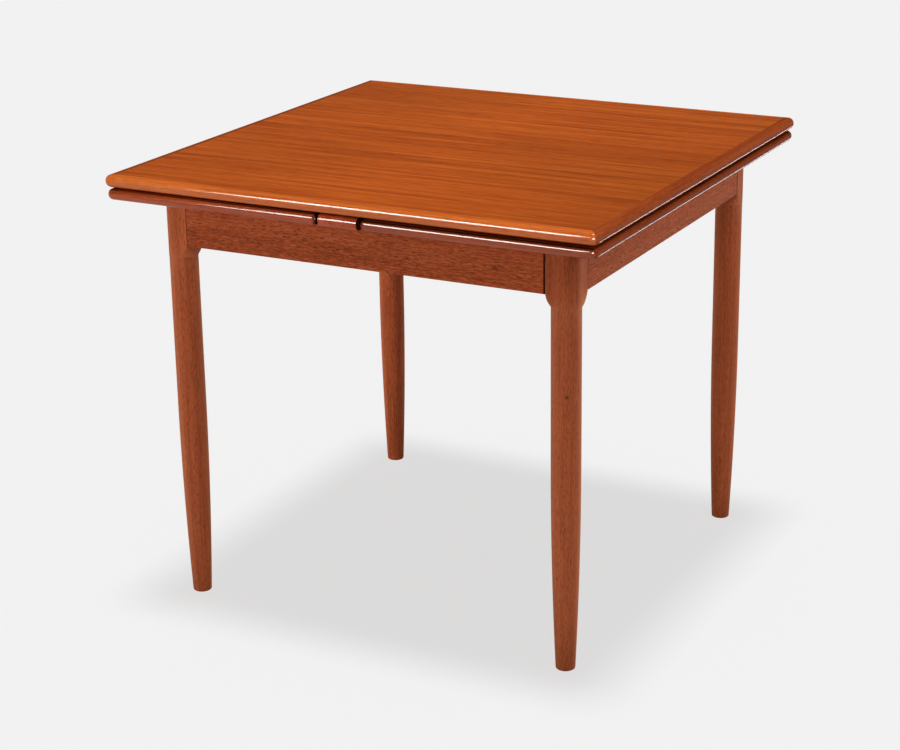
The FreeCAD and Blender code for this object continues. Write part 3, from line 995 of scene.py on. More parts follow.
@dataclass
class Lipping:
    """One mitred lipping with a half-round outer edge."""

    node: str
    half_run: float
    edge: float
    thickness: float
    width: float
    base: Point
    turn: float
    seam: Seam
    # The end beside the centre board that gets painted shade, and how deep the painted shade
    # reaches.
    stained_end: int = 0
    arc_steps: int = 14
    corner_steps: int = 8
    straight_steps: int = 26
    support: float = 0.0005
    wear_start: float = 0.3
    wear_least: float = 0.35
    wear_corners: float = 1.6
    stain_depth: float = 0.8
    stain_fade: float = 0.3
    rubbed_share: float = 0.97

    @property
    def along_x(self) -> bool:
        """Whether the lipping runs along the front or the back."""
        return self.turn % 180 == 0

    @property
    def radius(self) -> float:
        """The radius of the half-round edge."""
        return (self.thickness - SIZES.bullnose_flat) / 2

    @property
    def corner(self) -> float:
        """The radius of the plan corner."""
        return self.radius + SIZES.corner_softening

    def profile(self) -> list[Pair]:
        """Return the section from the lower flat to the upper one, as depth and height.

        Returns:
            Depth inwards from the edge, and height.
        """
        radius = self.radius
        lower = [
            (radius * (1 - math.cos(angle)), radius * (1 + math.sin(angle)))
            for angle in rounded_path(-90, 0, self.arc_steps)
        ]
        upper = [(depth, self.thickness - rise) for depth, rise in reversed(lower)]
        inside = radius + self.support
        return [(inside, 0.0), *lower, *upper, (inside, self.thickness)]

    def line(self, depth: float) -> list[Pair]:
        """Return the plan line at a depth from the edge, from mitre to mitre.

        Args:
            depth: The distance inwards from the edge.

        Returns:
            Points along it.
        """
        reach = self.corner - depth
        straight = self.half_run - self.corner
        pivot = self.corner - self.edge
        left = [
            (-straight - reach * math.sin(angle), pivot - reach * math.cos(angle))
            for angle in rounded_path(45, 0, self.corner_steps)
        ]
        right = [(-x, y) for x, y in reversed(left)]
        step = 2 * straight / self.straight_steps
        middle = [(step * n - straight, depth - self.edge) for n in range(1, self.straight_steps)]
        return [*left, *middle, *right]

    def worn(self, depth: float, height: float, from_end: int) -> float:
        """Return how worn a point is: along the upper rim, and most at the corners.

        Args:
            depth: Its distance inwards from the edge.
            height: Its height.
            from_end: How many points lie between it and the nearer mitre.

        Returns:
            The wear, from 0 to 1.
        """
        if depth >= self.radius:
            return 0.0
        rise = (height / self.thickness - self.wear_start) / (1 - self.wear_start)
        rim = max(0.0, math.sin(math.pi * min(1.0, max(0.0, rise))))
        near = max(0.0, 1.0 - from_end / self.corner_steps / self.wear_corners)
        return rim * (self.wear_least + (1 - self.wear_least) * near)

    def stained(self, depth: float, height: float, from_shaded_end: int) -> float:
        """Return how much painted shade a point has: along the seam, and round the shaded end.

        Args:
            depth: Its distance inwards from the edge.
            height: Its height.
            from_shaded_end: How many points lie between it and the end that gets painted shade.

        Returns:
            The painted shade, from 0 to 1.
        """
        start, full = self.seam.value
        dark = (height / self.thickness - start) / (full - start)
        fading = (self.stain_depth * self.radius - depth) / (self.stain_fade * self.radius)
        near = 1.0 - from_shaded_end / self.corner_steps if self.stained_end else 0.0
        return max(0.0, min(dark, fading, 1.0), near)

    def build(self) -> bpy.types.Object:
        """Return the lipping as a closed piece in its place.

        Returns:
            The new object.
        """
        section = self.profile()
        points = [(x, y, height) for depth, height in section for x, y in self.line(depth)]
        rows = len(section)
        across = len(points) // rows
        inner = [
            (sign * (self.half_run - self.width), self.width - self.edge, height)
            for height in (0.0, self.thickness)
            for sign in (-1, 1)
        ]
        marks = {WEAR: [], PAINTED_SHADE: [], RUBBED: []}
        for depth, height in section:
            for column in range(across):
                back = across - 1 - column
                from_shaded_end = back if self.stained_end > 0 else column
                marks[WEAR].append(self.worn(depth, height, min(column, back)))
                marks[PAINTED_SHADE].append(self.stained(depth, height, from_shaded_end))
                marks[RUBBED].append(self.rubbed_share * (depth >= self.radius))
        for mark, level in ((WEAR, 0.0), (PAINTED_SHADE, 0.0), (RUBBED, self.rubbed_share)):
            marks[mark] += [level] * len(inner)

        end = rows * across
        low_left, low_right, high_left, high_right = range(end, end + len(inner))
        faces = [
            *quads(rows, across, closed=False),
            [*range(across), low_right, low_left],
            [*range(end - across, end), high_right, high_left],
            [*range(0, end, across), high_left, low_left],
            [*range(across - 1, end, across), high_right, low_right],
            [low_left, low_right, high_right, high_left],
        ]
        move = Matrix.Translation(self.base) @ Matrix.Rotation(math.radians(self.turn), 4, "Z")
        placed = [move @ Vector(point) for point in (*points, *inner)]
        return make_object(self.node + "_edge", placed, faces, marks)


def lipping_ring(
    panel: str, turns: Mapping[str, float], seams: Mapping[str, Seam]
) -> dict[str, Lipping]:
    """Return the four lippings round a panel.

    Args:
        panel: The word with which their nodes' names start.
        turns: How far each side lies round from the front in degrees, by the side's word.
        seams: Where dirt darkens each side.

    Returns:
        The lippings by their sides.
    """
    nodes = {side: f"{panel}_{side}_lipping" for side in turns}
    box = node_box(*nodes.values())
    width = node_box(nodes["front"]).size.y
    base = (box.middle.x, 0.0, box.low.z)
    made = {}
    for side, turn in turns.items():
        run, edge = box.size.xy / 2 if turn % 180 == 0 else box.size.yx / 2
        seam = seams[side]
        made[side] = Lipping(nodes[side], run, edge, box.size.z, width, base, turn, seam)
    return made


@dataclass
class LooseTop:
    """The loose top: veneered panel, lippings and guide dowels."""

    panel: Teak = Teak(
        "teak_top_veneer", Grain.ALONG_X,
        ((0.540, 0.121, 0.0165), (0.438, 0.083, 0.0095), (0.293, 0.047, 0.0058)),
        VENEER_FIGURE, 0.3, roughness=0.40, gloss=0.03, coat=0.02, coat_roughness=0.2,
        fade=(0.97, 1.08, 0.84),
    )
    # The long edges are lighter than the panel, partly as a painted glow beside their glint.
    long_edge: Teak = Teak(
        "teak_top_long_edge", Grain.ALONG_X,
        ((0.66, 0.165, 0.028), (0.56, 0.116, 0.016), (0.38, 0.064, 0.009)),
        EDGE_FIGURE, 1.9, roughness=0.36, gloss=0.02, coat=0.6, coat_roughness=0.10,
    )
    cross_edge: Teak = Teak(
        "teak_top_cross_edge", Grain.ALONG_Y,
        ((0.325, 0.070, 0.017), (0.255, 0.049, 0.012), (0.17, 0.028, 0.008)),
        EDGE_FIGURE, 2.7, gloss=0.0, coat=0.14, coat_roughness=0.08,
    )
    dowel_finish: Beech = Beech("beech_dowels", Grain.ALONG_Z, seed=0.4)
    dowel_rounding: float = 0.004
    dowel_steps: int = 6

    def dowels(self) -> bpy.types.Object:
        """Return the two guide dowels, turned with a rounded lower end.

        Returns:
            One object of both.
        """
        boxes = solid_boxes("top_guide_dowels")
        radius, low, high = boxes[0].size.x / 2, boxes[0].low.z, boxes[0].high.z
        end = rounded_end(radius, self.dowel_rounding, self.dowel_steps)
        section = [*((across, low + rise) for across, rise in end), (radius, high)]
        return turned_pins("guide_dowel_pair", section, boxes)

    def build(self) -> list[bpy.types.Object]:
        """Build and dress the top.

        Returns:
            Its lacquered edges.
        """
        dress_node("top_panel", self.panel)
        dress(self.dowels(), self.dowel_finish, "top_guide_dowels")
        turns = {"front": 0, "right": 90, "back": 180, "left": 270}
        seams = {
            "front": Seam.UNDER, "right": Seam.SIDE_UNDER, "back": Seam.UNDER,
            "left": Seam.SIDE_UNDER,
        }
        edges = []
        for lipping in lipping_ring("top", turns, seams).values():
            finish = self.long_edge if lipping.along_x else self.cross_edge
            edges.append(dress(lipping.build(), finish, lipping.node))
        return edges


@dataclass
class FeltStrips:
    """The felt strips under the top, softened at the edges."""

    finish: Felt = Felt("wool_felt")
    easing: float = 0.0011

    def build(self) -> None:
        """Build and dress both strips."""
        for side in Side:
            node = f"{side.label}_felt_strip"
            cushion = eased_copy(f"{side.label}_felt_cushion", node, self.easing)
            dress(cushion, self.finish, node)


@dataclass
class DrawLeaf:
    """One leaf: veneered panel, lippings, tapered bearers and stop pegs."""

    side: Side
    seed: float
    # A tone above 1 makes the long edges lighter as painted light.
    tone: float
    seam: Seam
    panel_shades: Shades = ((0.52, 0.118, 0.018), (0.42, 0.082, 0.0105), (0.28, 0.046, 0.0065))
    edge_shades: Shades = ((0.36, 0.068, 0.015), (0.285, 0.048, 0.011), (0.19, 0.028, 0.008))
    cross_tone: float = 0.8
    long_coat: Pair = (0.6, 0.10)
    cross_coat: Pair = (0.14, 0.08)
    edge_seed_step: float = 0.31
    bearer_seed_step: float = 0.7
    bearer_easing: float = 0.0007
    peg_rounding: float = 0.001
    peg_steps: int = 4

    def panel_finish(self) -> Teak:
        """Return the veneer of the panel.

        Returns:
            The finish.
        """
        return Teak(
            f"teak_{self.side.label}_leaf_panel", Grain.ALONG_X, self.panel_shades, VENEER_FIGURE,
            self.seed, roughness=0.40, gloss=0.06, coat=0.04, coat_roughness=0.2,
        )

    def edge_finish(self, side: str, along_x: bool) -> Teak:
        """Return the teak of one lipping.

        Args:
            side: The side's word.
            along_x: Whether it runs along the front or the back.

        Returns:
            The finish.
        """
        grain = Grain.ALONG_X if along_x else Grain.ALONG_Y
        tone = self.tone if along_x else self.cross_tone
        coat, coat_roughness = self.long_coat if along_x else self.cross_coat
        shades = tuple(toned(colour, tone) for colour in self.edge_shades)
        seed = self.seed + len(side) * self.edge_seed_step
        return Teak(
            f"teak_{self.side.label}_leaf_{side}", grain, shades, EDGE_FIGURE, seed, gloss=0.0,
            coat=coat, coat_roughness=coat_roughness,
        )

    def lippings(self) -> dict[str, Lipping]:
        """Return the four lippings by their sides.

        Returns:
            The lippings, the long ones darkened by painted shade at their inner ends.
        """
        outer = self.side.value
        turns = {"front": 0, "outer": outer, "back": 180, "inner": outer + 180}
        seams = {
            "front": self.seam, "outer": Seam.SIDE_OVER, "back": self.seam, "inner": Seam.INNER,
        }
        made = lipping_ring(f"{self.side.label}_leaf", turns, seams)
        made["front"].stained_end = 1 if self.side is Side.LEFT else -1
        made["back"].stained_end = -made["front"].stained_end
        return made

    def pegs(self) -> bpy.types.Object:
        """Return the two pegs that stop the leaf, their upper ends eased.

        Returns:
            One object of both.
        """
        boxes = solid_boxes(f"{self.side.label}_leaf_stop_pegs")
        radius, low, high = boxes[0].size.x / 2, boxes[0].low.z, boxes[0].high.z
        end = reversed(rounded_end(radius, self.peg_rounding, self.peg_steps))
        section = [(radius, low), *((across, high - drop) for across, drop in end)]
        return turned_pins(f"{self.side.label}_stop_peg_pair", section, boxes)

    def build(self) -> list[bpy.types.Object]:
        """Build and dress the leaf.

        Returns:
            Its lacquered edges.
        """
        dress_node(f"{self.side.label}_leaf_panel", self.panel_finish())
        for number, place in enumerate(("front", "back")):
            seed = self.seed + self.bearer_seed_step * number
            finish = Beech(f"beech_{self.side.label}_{place}_bearer", Grain.ALONG_X, seed)
            node = f"{self.side.label}_leaf_{place}_bearer"
            dress_eased(node, self.bearer_easing, finish)
        finish = Beech(f"beech_{self.side.label}_pegs", Grain.ALONG_Z, self.seed)
        dress(self.pegs(), finish, f"{self.side.label}_leaf_stop_pegs")
        edges = []
        for side, lipping in self.lippings().items():
            finish = self.edge_finish(side, lipping.along_x)
            edges.append(dress(lipping.build(), finish, lipping.node))
        return edges


@dataclass
class TurnedLeg:
    """One leg: round below, its curved shoulder running out into a square head."""

    corner: Corner
    half_width: float = SIZES.leg.size.x / 2
    turning_inset: float = 0.00025
    foot_radius: float = 0.0155
    foot_rounding: float = 0.0025
    foot_wear: float = 0.03
    taper_height: float = 0.340
    shoulder_height: float = 0.022
    shoulder_bulge: float = 0.0011
    shoulder_wear: float = 0.35
    head_spare: float = 0.0004
    apron_bottom: float = SIZES.apron.low.z
    head_top: float = SIZES.apron.high.z
    around: int = 128
    foot_steps: int = 6
    taper_steps: int = 30
    straight_steps: int = 6
    shoulder_steps: int = 12
    head_steps: int = 6
    crisp: float = 60.0

    @property
    def turned_radius(self) -> float:
        """The radius of the round part."""
        return self.half_width - self.turning_inset

    @property
    def shoulder_bottom(self) -> float:
        """The height at which the shoulder starts."""
        return self.apron_bottom - self.shoulder_height

    @property
    def shoulder_arc(self) -> tuple[float, float, float]:
        """The shoulder's curve: its middle's distance from the axis and height, and its radius."""
        head_reach = self.half_width * math.sqrt(2) + self.head_spare
        out, rise = head_reach - self.turned_radius, self.shoulder_height
        chord = math.hypot(out, rise)
        radius = chord ** 2 / (8 * self.shoulder_bulge) + self.shoulder_bulge / 2
        back = (radius - self.shoulder_bulge) / chord
        across = (head_reach + self.turned_radius) / 2 - rise * back
        return across, self.apron_bottom - rise / 2 + out * back, radius

    def head_outline(self, angle: float) -> float:
        """Return how far the head's sides lie from the axis, one corner of it being round.

        Args:
            angle: The direction from the leg's axis.

        Returns:
            The distance.
        """
        across, along = math.cos(angle), math.sin(angle)
        if across >= 0 and along <= 0:
            return self.half_width
        return self.half_width / max(abs(across), abs(along))

    def turned_rows(self) -> list[Pair]:
        """Return radius and height of the round part, from the foot up to the shoulder.

        Returns:
            The rows.
        """
        rows = rounded_end(self.foot_radius, self.foot_rounding, self.foot_steps)
        rise = self.taper_height - self.foot_rounding
        inward = self.turned_radius - self.foot_radius
        bow = (rise ** 2 + inward ** 2) / (2 * inward)
        for step in range(1, self.taper_steps + 1):
            height = self.foot_rounding + rise * step / self.taper_steps
            below = self.taper_height - height
            rows.append((self.turned_radius - bow + math.sqrt(bow ** 2 - below ** 2), height))
        straight = self.shoulder_bottom - self.taper_height
        for step in range(1, self.straight_steps + 1):
            height = self.taper_height + straight * step / self.straight_steps
            rows.append((self.turned_radius, height))
        return rows

    def column(self, angle: float) -> list[tuple[float, float, float]]:
        """Return radius, height and wear up the leg in one direction.

        Args:
            angle: The direction from the leg's axis.

        Returns:
            The points from the foot to the top of the head.
        """
        made = [
            (radius, height, max(0.0, 1.0 - height / self.foot_wear))
            for radius, height in self.turned_rows()
        ]
        bottom = self.shoulder_bottom
        side = self.head_outline(angle)
        across, middle, curve = self.shoulder_arc
        crest = middle - math.sqrt(curve ** 2 - (side - across) ** 2)
        for step in range(1, self.shoulder_steps + 1):
            share = step / self.shoulder_steps
            height = bottom + (crest - bottom) * share
            radius = across + math.sqrt(curve ** 2 - (middle - height) ** 2)
            made.append((radius, height, self.shoulder_wear * share))
        for step in range(1, self.head_steps + 1):
            made.append((side, crest + (self.head_top - crest) * step / self.head_steps, 0.0))
        return made

    def build(self) -> bpy.types.Object:
        """Return the leg as a closed piece in its place.

        Returns:
            The new object.
        """
        sign_x, sign_y, turn = self.corner.value
        base = (sign_x * SIZES.leg.middle.x, -sign_y * SIZES.leg.middle.y, 0.0)
        move = Matrix.Translation(base) @ Matrix.Rotation(math.radians(turn), 4, "Z")
        angles = [math.tau * number / self.around for number in range(self.around)]
        rings = list(zip(*(self.column(angle) for angle in angles)))
        points = []
        worn = []
        for ring in rings:
            for angle, (radius, height, wear) in zip(angles, ring):
                across, along = radius * math.cos(angle), radius * math.sin(angle)
                points.append(move @ Vector((across, along, height)))
                worn.append(wear)
        name = f"{self.corner.label}_turned_leg"
        faces = tube(len(rings), self.around)
        return make_object(name, points, faces, {WEAR: worn}, self.crisp)


@dataclass
class UnderFrame:
    """Legs, aprons, corner blocks, rail, keepers and the fixed board between the leaves."""

    shades: Shades = ((0.445, 0.099, 0.034), (0.338, 0.068, 0.0215), (0.217, 0.037, 0.0112))
    leg_seeds: tuple[float, ...] = (4.1, 5.3, 6.2, 7.9)
    # The left legs are made lighter as painted light, for light that reaches them less.
    leg_tones: tuple[float, ...] = (0.96, 0.98, 1.18, 1.16)
    leg_sheen: float = 1.0
    knot: Point = (0.3492, -0.3591, 0.4545)
    apron_seeds: Pair = (0.9, 1.3)
    apron_tone: float = 1.16
    apron_sheen: float = 0.2
    apron_easing: float = 0.0010
    # The wider joint band is painted shade cast by the leg; the close one is a thin dark joint
    # line.
    wide_joint: float = 0.0042
    close_joint: float = 0.0014
    cross_seeds: Pair = (1.1, 0.9)
    block_seeds: Pair = (3.1, 0.8)
    inner_easing: float = 0.0007
    board_finish: Teak = Teak(
        "teak_centre_board", Grain.ALONG_Y,
        ((0.52, 0.085, 0.016), (0.42, 0.058, 0.011), (0.28, 0.034, 0.008)),
        EDGE_FIGURE, 3.3, gloss=0.0, coat=0.6, coat_roughness=0.10,
    )
    board_arc_steps: int = 16
    board_stain: float = 0.9
    side_look: float = 0.9
    hole_clearance: float = 0.002
    countersink_depth: float = 0.003

    def frame_shades(self, tone: float) -> Shades:
        """Return the frame's colours, made lighter or darker for one board."""
        return tuple(toned(colour, tone) for colour in self.shades)

    def legs(self) -> None:
        """Build and dress the four legs; the front right one has a small knot."""
        for corner, seed, tone in zip(Corner, self.leg_seeds, self.leg_tones):
            finish = Teak(
                f"teak_{corner.label}_leg", Grain.ALONG_Z, self.frame_shades(tone), LEG_FIGURE,
                seed, sheen=self.leg_sheen,
                knot=self.knot if corner is Corner.FRONT_RIGHT else None,
            )
            dress(TurnedLeg(corner).build(), finish, f"{corner.label}_leg")

    def aprons(self) -> None:
        """Build and dress the four aprons, with dark joint lines at their ends, the wider one
        painted shade cast by the leg.
        """
        shoulder = SIZES.leg.low.x
        joints = ((shoulder, self.wide_joint), (-shoulder, self.close_joint))
        first, step = self.apron_seeds
        for number, side in enumerate(("front", "right", "back", "left")):
            grain = Grain.ALONG_X if side in ("front", "back") else Grain.ALONG_Y
            finish = Teak(
                f"teak_{side}_apron", grain, self.frame_shades(self.apron_tone), APRON_FIGURE,
                first + step * number, sheen=self.apron_sheen, joints=joints,
            )
            dress_eased(f"{side}_apron", self.apron_easing, finish)

    def inner_pieces(self) -> None:
        """Build and dress the beech pieces inside the frame."""
        cross = ("centre_rail", "left_keeper", "right_keeper")
        blocks = tuple(f"{corner.label}_corner_block" for corner in Corner)
        groups = (
            (cross, Grain.ALONG_Y, self.cross_seeds),
            (blocks, Grain.ALONG_Z, self.block_seeds),
        )
        for nodes, grain, (first, step) in groups:
            for number, node in enumerate(nodes):
                finish = Beech(f"beech_{node}", grain, first + step * number)
                dress_eased(node, self.inner_easing, finish)

    def centre_board(self) -> bpy.types.Object:
        """Return the centre board: half-round ends, dowel holes and countersinks, and painted shade
        on its sides.

        Returns:
            The new object.
        """
        box = node_box("centre_board")
        radius = box.size.z / 2
        straight = box.high.y - radius
        end = [
            (straight + radius * math.cos(angle), box.middle.z + radius * math.sin(angle))
            for angle in rounded_path(-90, 90, self.board_arc_steps)
        ]
        section = [*end, *((-y, z) for y, z in reversed(end))]
        points = [(x, y, z) for x in (box.low.x, box.high.x) for y, z in section]
        board = make_object("centre_board_shaped", points, tube(2, len(section)))

        below, above = box.low.z - radius, box.high.z + radius
        dowels = solid_boxes("top_guide_dowels")
        hole = dowels[0].size.x / 2 + self.hole_clearance
        screws = solid_boxes("centre_board_screws")
        head = screws[0].size.x / 2
        shank_end = box.high.z - self.countersink_depth
        sink = [(head / 2, below), (head / 2, shank_end), (head, box.high.z), (head, above)]
        cutters = [
            turned_pins("dowel_hole_cutter", [(hole, below), (hole, above)], dowels),
            turned_pins("countersink_cutter", sink, screws),
        ]
        for cutter in cutters:
            carve = board.modifiers.new("carve", "BOOLEAN")
            carve.object = cutter
            carve.solver = "EXACT"
        settle(board)
        for cutter in cutters:
            bpy.data.objects.remove(cutter)
        sharpen(board.data)
        # Painted shade: the sides, in the narrow seams beside the leaves, are darkened.
        sides = [abs(face.normal.x) > self.side_look for face in board.data.polygons]
        stain = board.data.attributes.new(PAINTED_SHADE, "FLOAT", "FACE")
        stain.data.foreach_set("value", [self.board_stain * side for side in sides])
        return board

    def build(self) -> list[bpy.types.Object]:
        """Build and dress the whole under-frame.

        Returns:
            Its lacquered board.
        """
        self.legs()
        self.aprons()
        self.inner_pieces()
        return [dress(self.centre_board(), self.board_finish, "centre_board")]


@dataclass
class WoodScrews:
    """Slotted countersunk wood screws, set by Geometry Nodes at their places."""

    finish: Steel = Steel("screw_steel")
    head_depth: float = 0.003
    head_sides: int = 28
    shank_share: float = 0.5
    shank_sides: int = 20
    slot_width: float = 0.0011
    slot_depth: float = 0.0012
    slot_overrun: float = 3.0
    end_share: float = 0.02
    seeds: tuple[int, int] = (3, 2)
    tree: bpy.types.NodeTree | None = field(default=None, init=False)

    @staticmethod
    def lowered(graph: Graph, part: Socket, depth: Socket) -> Socket:
        """Sink a part along its own axis.

        Args:
            graph: The tree to fill.
            part: The part.
            depth: How deep.

        Returns:
            The sunk part.
        """
        drop = graph.join(0.0, 0.0, graph.math("MULTIPLY", depth, -1.0))
        inputs = {"Geometry": part, "Translation": drop}
        return graph.node("GeometryNodeTransform", inputs).outputs[0]

    def screw(self, graph: Graph, given: bpy.types.NodeOutputs) -> Socket:
        """Return one screw, its head's face at the origin and looking up.

        Args:
            graph: The tree to fill.
            given: The tree's inputs.

        Returns:
            The screw.
        """
        radius, depth, shank = given["Head Radius"], given["Head Depth"], given["Shank Radius"]
        cone = graph.node("GeometryNodeMeshCone", {
            "Vertices": self.head_sides, "Radius Top": radius, "Radius Bottom": shank,
            "Depth": depth,
        })
        wide = graph.math("MULTIPLY", radius, self.slot_overrun)
        tall = graph.math("MULTIPLY", given["Slot Depth"], 2.0)
        size = graph.join(wide, given["Slot Width"], tall)
        block = graph.node("GeometryNodeMeshCube", {"Size": size})
        slotted = graph.node("GeometryNodeMeshBoolean", {
            "Mesh 1": self.lowered(graph, cone.outputs["Mesh"], depth),
            "Mesh 2": block.outputs["Mesh"],
        }, operation="DIFFERENCE")
        reach = graph.math("SUBTRACT", given["Length"], depth)
        pin = graph.node("GeometryNodeMeshCylinder", {
            "Vertices": self.shank_sides, "Radius": shank, "Depth": reach,
        })
        middle = graph.math("ADD", depth, graph.math("MULTIPLY", reach, 0.5))
        made = graph.node("GeometryNodeJoinGeometry")
        for part in (slotted.outputs["Mesh"], self.lowered(graph, pin.outputs["Mesh"], middle)):
            graph.feed(made.inputs[0], part)
        return made.outputs[0]

    def make_tree(self) -> bpy.types.NodeTree:
        """Make the node tree that sets a screw at every point, its head along the point's aim.

        Returns:
            The tree.
        """
        tree = bpy.data.node_groups.new("slotted_screws", "GeometryNodeTree")
        lengths = (
            "Head Radius", "Head Depth", "Shank Radius", "Length", "Slot Width", "Slot Depth",
        )
        kinds = {
            "Places": "Geometry", **dict.fromkeys(lengths, "Float"), "Seed": "Int",
            "Finish": "Material",
        }
        for name, kind in kinds.items():
            tree.interface.new_socket(name, in_out="INPUT", socket_type=f"NodeSocket{kind}")
        tree.interface.new_socket("Screws", in_out="OUTPUT", socket_type="NodeSocketGeometry")
        graph = Graph(tree)
        given = graph.node("NodeGroupInput").outputs
        aim = graph.node("GeometryNodeInputNamedAttribute", {"Name": AIM}, data_type="FLOAT_VECTOR")
        facing = {"Vector": aim.outputs["Attribute"]}
        align = graph.node("FunctionNodeAlignRotationToVector", facing, axis="Z")
        setting = graph.node("GeometryNodeInstanceOnPoints", {
            "Points": given["Places"], "Instance": self.screw(graph, given),
            "Rotation": align.outputs[0],
        })
        half_turn = {"Min": 0.0, "Max": math.pi, "Seed": given["Seed"]}
        twist = graph.node("FunctionNodeRandomValue", half_turn, data_type="FLOAT")
        turn = next(out for out in twist.outputs if out.enabled)
        driven = graph.node("GeometryNodeRotateInstances", {
            "Instances": setting.outputs[0], "Rotation": graph.join(0.0, 0.0, turn),
            "Local Space": True,
        })
        real = graph.node("GeometryNodeRealizeInstances", {"Geometry": driven.outputs[0]})
        dressed = {"Geometry": real.outputs[0], "Material": given["Finish"]}
        coat = graph.node("GeometryNodeSetMaterial", dressed)
        graph.node("NodeGroupOutput", {"Screws": coat.outputs[0]})
        return tree

    def places(self, node: str) -> list[tuple[Vector, Vector, float, float]]:
        """Read the screws of a node.

        Args:
            node: The node's name.

        Returns:
            The middle of each head's face, the way it faces, the screw's length and the head's
            radius.
        """
        made = []
        for points in loose_solids(node):
            box = box_of(points)
            axis = max(range(3), key=lambda number: box.size[number])
            half = box.size[axis] / 2
            widths = {-1: 0.0, 1: 0.0}
            for point in points:
                arm = point - box.middle
                if abs(abs(arm[axis]) - half) < self.end_share * half:
                    sign = 1 if arm[axis] > 0 else -1
                    arm[axis] = 0.0
                    widths[sign] = max(widths[sign], arm.length)
            aim = Vector((0.0, 0.0, 0.0))
            aim[axis] = max(widths, key=widths.get)
            made.append((box.middle + half * aim, aim, 2 * half, min(box.size) / 2))
        return made

    def drive(self, name: str, node: str, seed: int) -> None:
        """Set one group of screws and let it stand for its node.

        Args:
            name: The piece's name.
            node: The node of these screws.
            seed: The seed of the slots' turns.
        """
        places = self.places(node)
        _, _, length, radius = places[0]
        mesh = bpy.data.meshes.new(name)
        mesh.from_pydata([tuple(head) for head, *_ in places], [], [])
        aims = mesh.attributes.new(AIM, "FLOAT_VECTOR", "POINT")
        aims.data.foreach_set("vector", [part for _, aim, *_ in places for part in aim])
        piece = add_object(name, mesh)
        modifier = piece.modifiers.new("screws", "NODES")
        modifier.node_group = self.tree
        values = {
            "Head Radius": radius,
            "Head Depth": self.head_depth,
            "Shank Radius": self.shank_share * radius,
            "Length": length,
            "Slot Width": self.slot_width,
            "Slot Depth": self.slot_depth,
            "Seed": seed,
            "Finish": self.finish.material(),
        }
        for item in self.tree.interface.items_tree:
            if item.in_out == "INPUT" and item.name in values:
                modifier[item.identifier] = values[item.name]
        settle(piece)
        sharpen(piece.data)
        dress(piece, self.finish, node)

    def build(self) -> None:
        """Set all the screws of the table."""
        self.tree = self.make_tree()
        first, step = self.seeds
        groups = ("corner_block", "centre_board", "keeper", "right_leaf_bearer", "left_leaf_bearer")
        for number, group in enumerate(groups):
            self.drive(f"{group}_slotted_screws", f"{group}_screws", first + step * number)


class Shows(Enum):
    """What a lamp shows on: the plain colour of a piece, or only as a glint on its lacquer."""

    COLOUR = "colour"
    GLINT = "glint"


@dataclass(frozen=True)
class Lamp:
    """One soft lamp: where it aims, from where, how large and how bright."""

    label: str
    shows: Shows
    target: Point
    way: Point
    distance: float
    size: Pair
    radiance: float
    only: tuple[str, ...] = ()
    spared: tuple[str, ...] = ()

    def build(self, floor: bpy.types.Object, edges: Sequence[bpy.types.Object]) -> None:
        """Hang the lamp, kept off the floor so that the floor shows the one plain shadow.

        Args:
            floor: The floor.
            edges: The lacquered edges, which alone show a glint.
        """
        data = bpy.data.lights.new(self.label, "AREA")
        data.shape = "RECTANGLE"
        data.size, data.size_y = self.size
        data.energy = self.radiance * math.pi * data.size * data.size_y
        made = add_object(self.label, data)
        way = Vector(self.way).normalized()
        made.location = Vector(self.target) + self.distance * way
        made.rotation_mode = "QUATERNION"
        made.rotation_quaternion = way.to_track_quat("Z", "Y")
        glint = self.shows is Shows.GLINT
        made.visible_camera = False
        made.visible_diffuse = not glint
        made.visible_glossy = glint
        only = edges if glint else [bpy.data.objects[name] for name in self.only]
        spared = [floor, *(bpy.data.objects[name] for name in self.spared)]
        group = bpy.data.collections.new(self.label + "_reach")
        for piece in only or spared:
            group.objects.link(piece)
        for entry in group.collection_objects:
            entry.light_linking.link_state = "INCLUDE" if only else "EXCLUDE"
        made.light_linking.receiver_collection = group


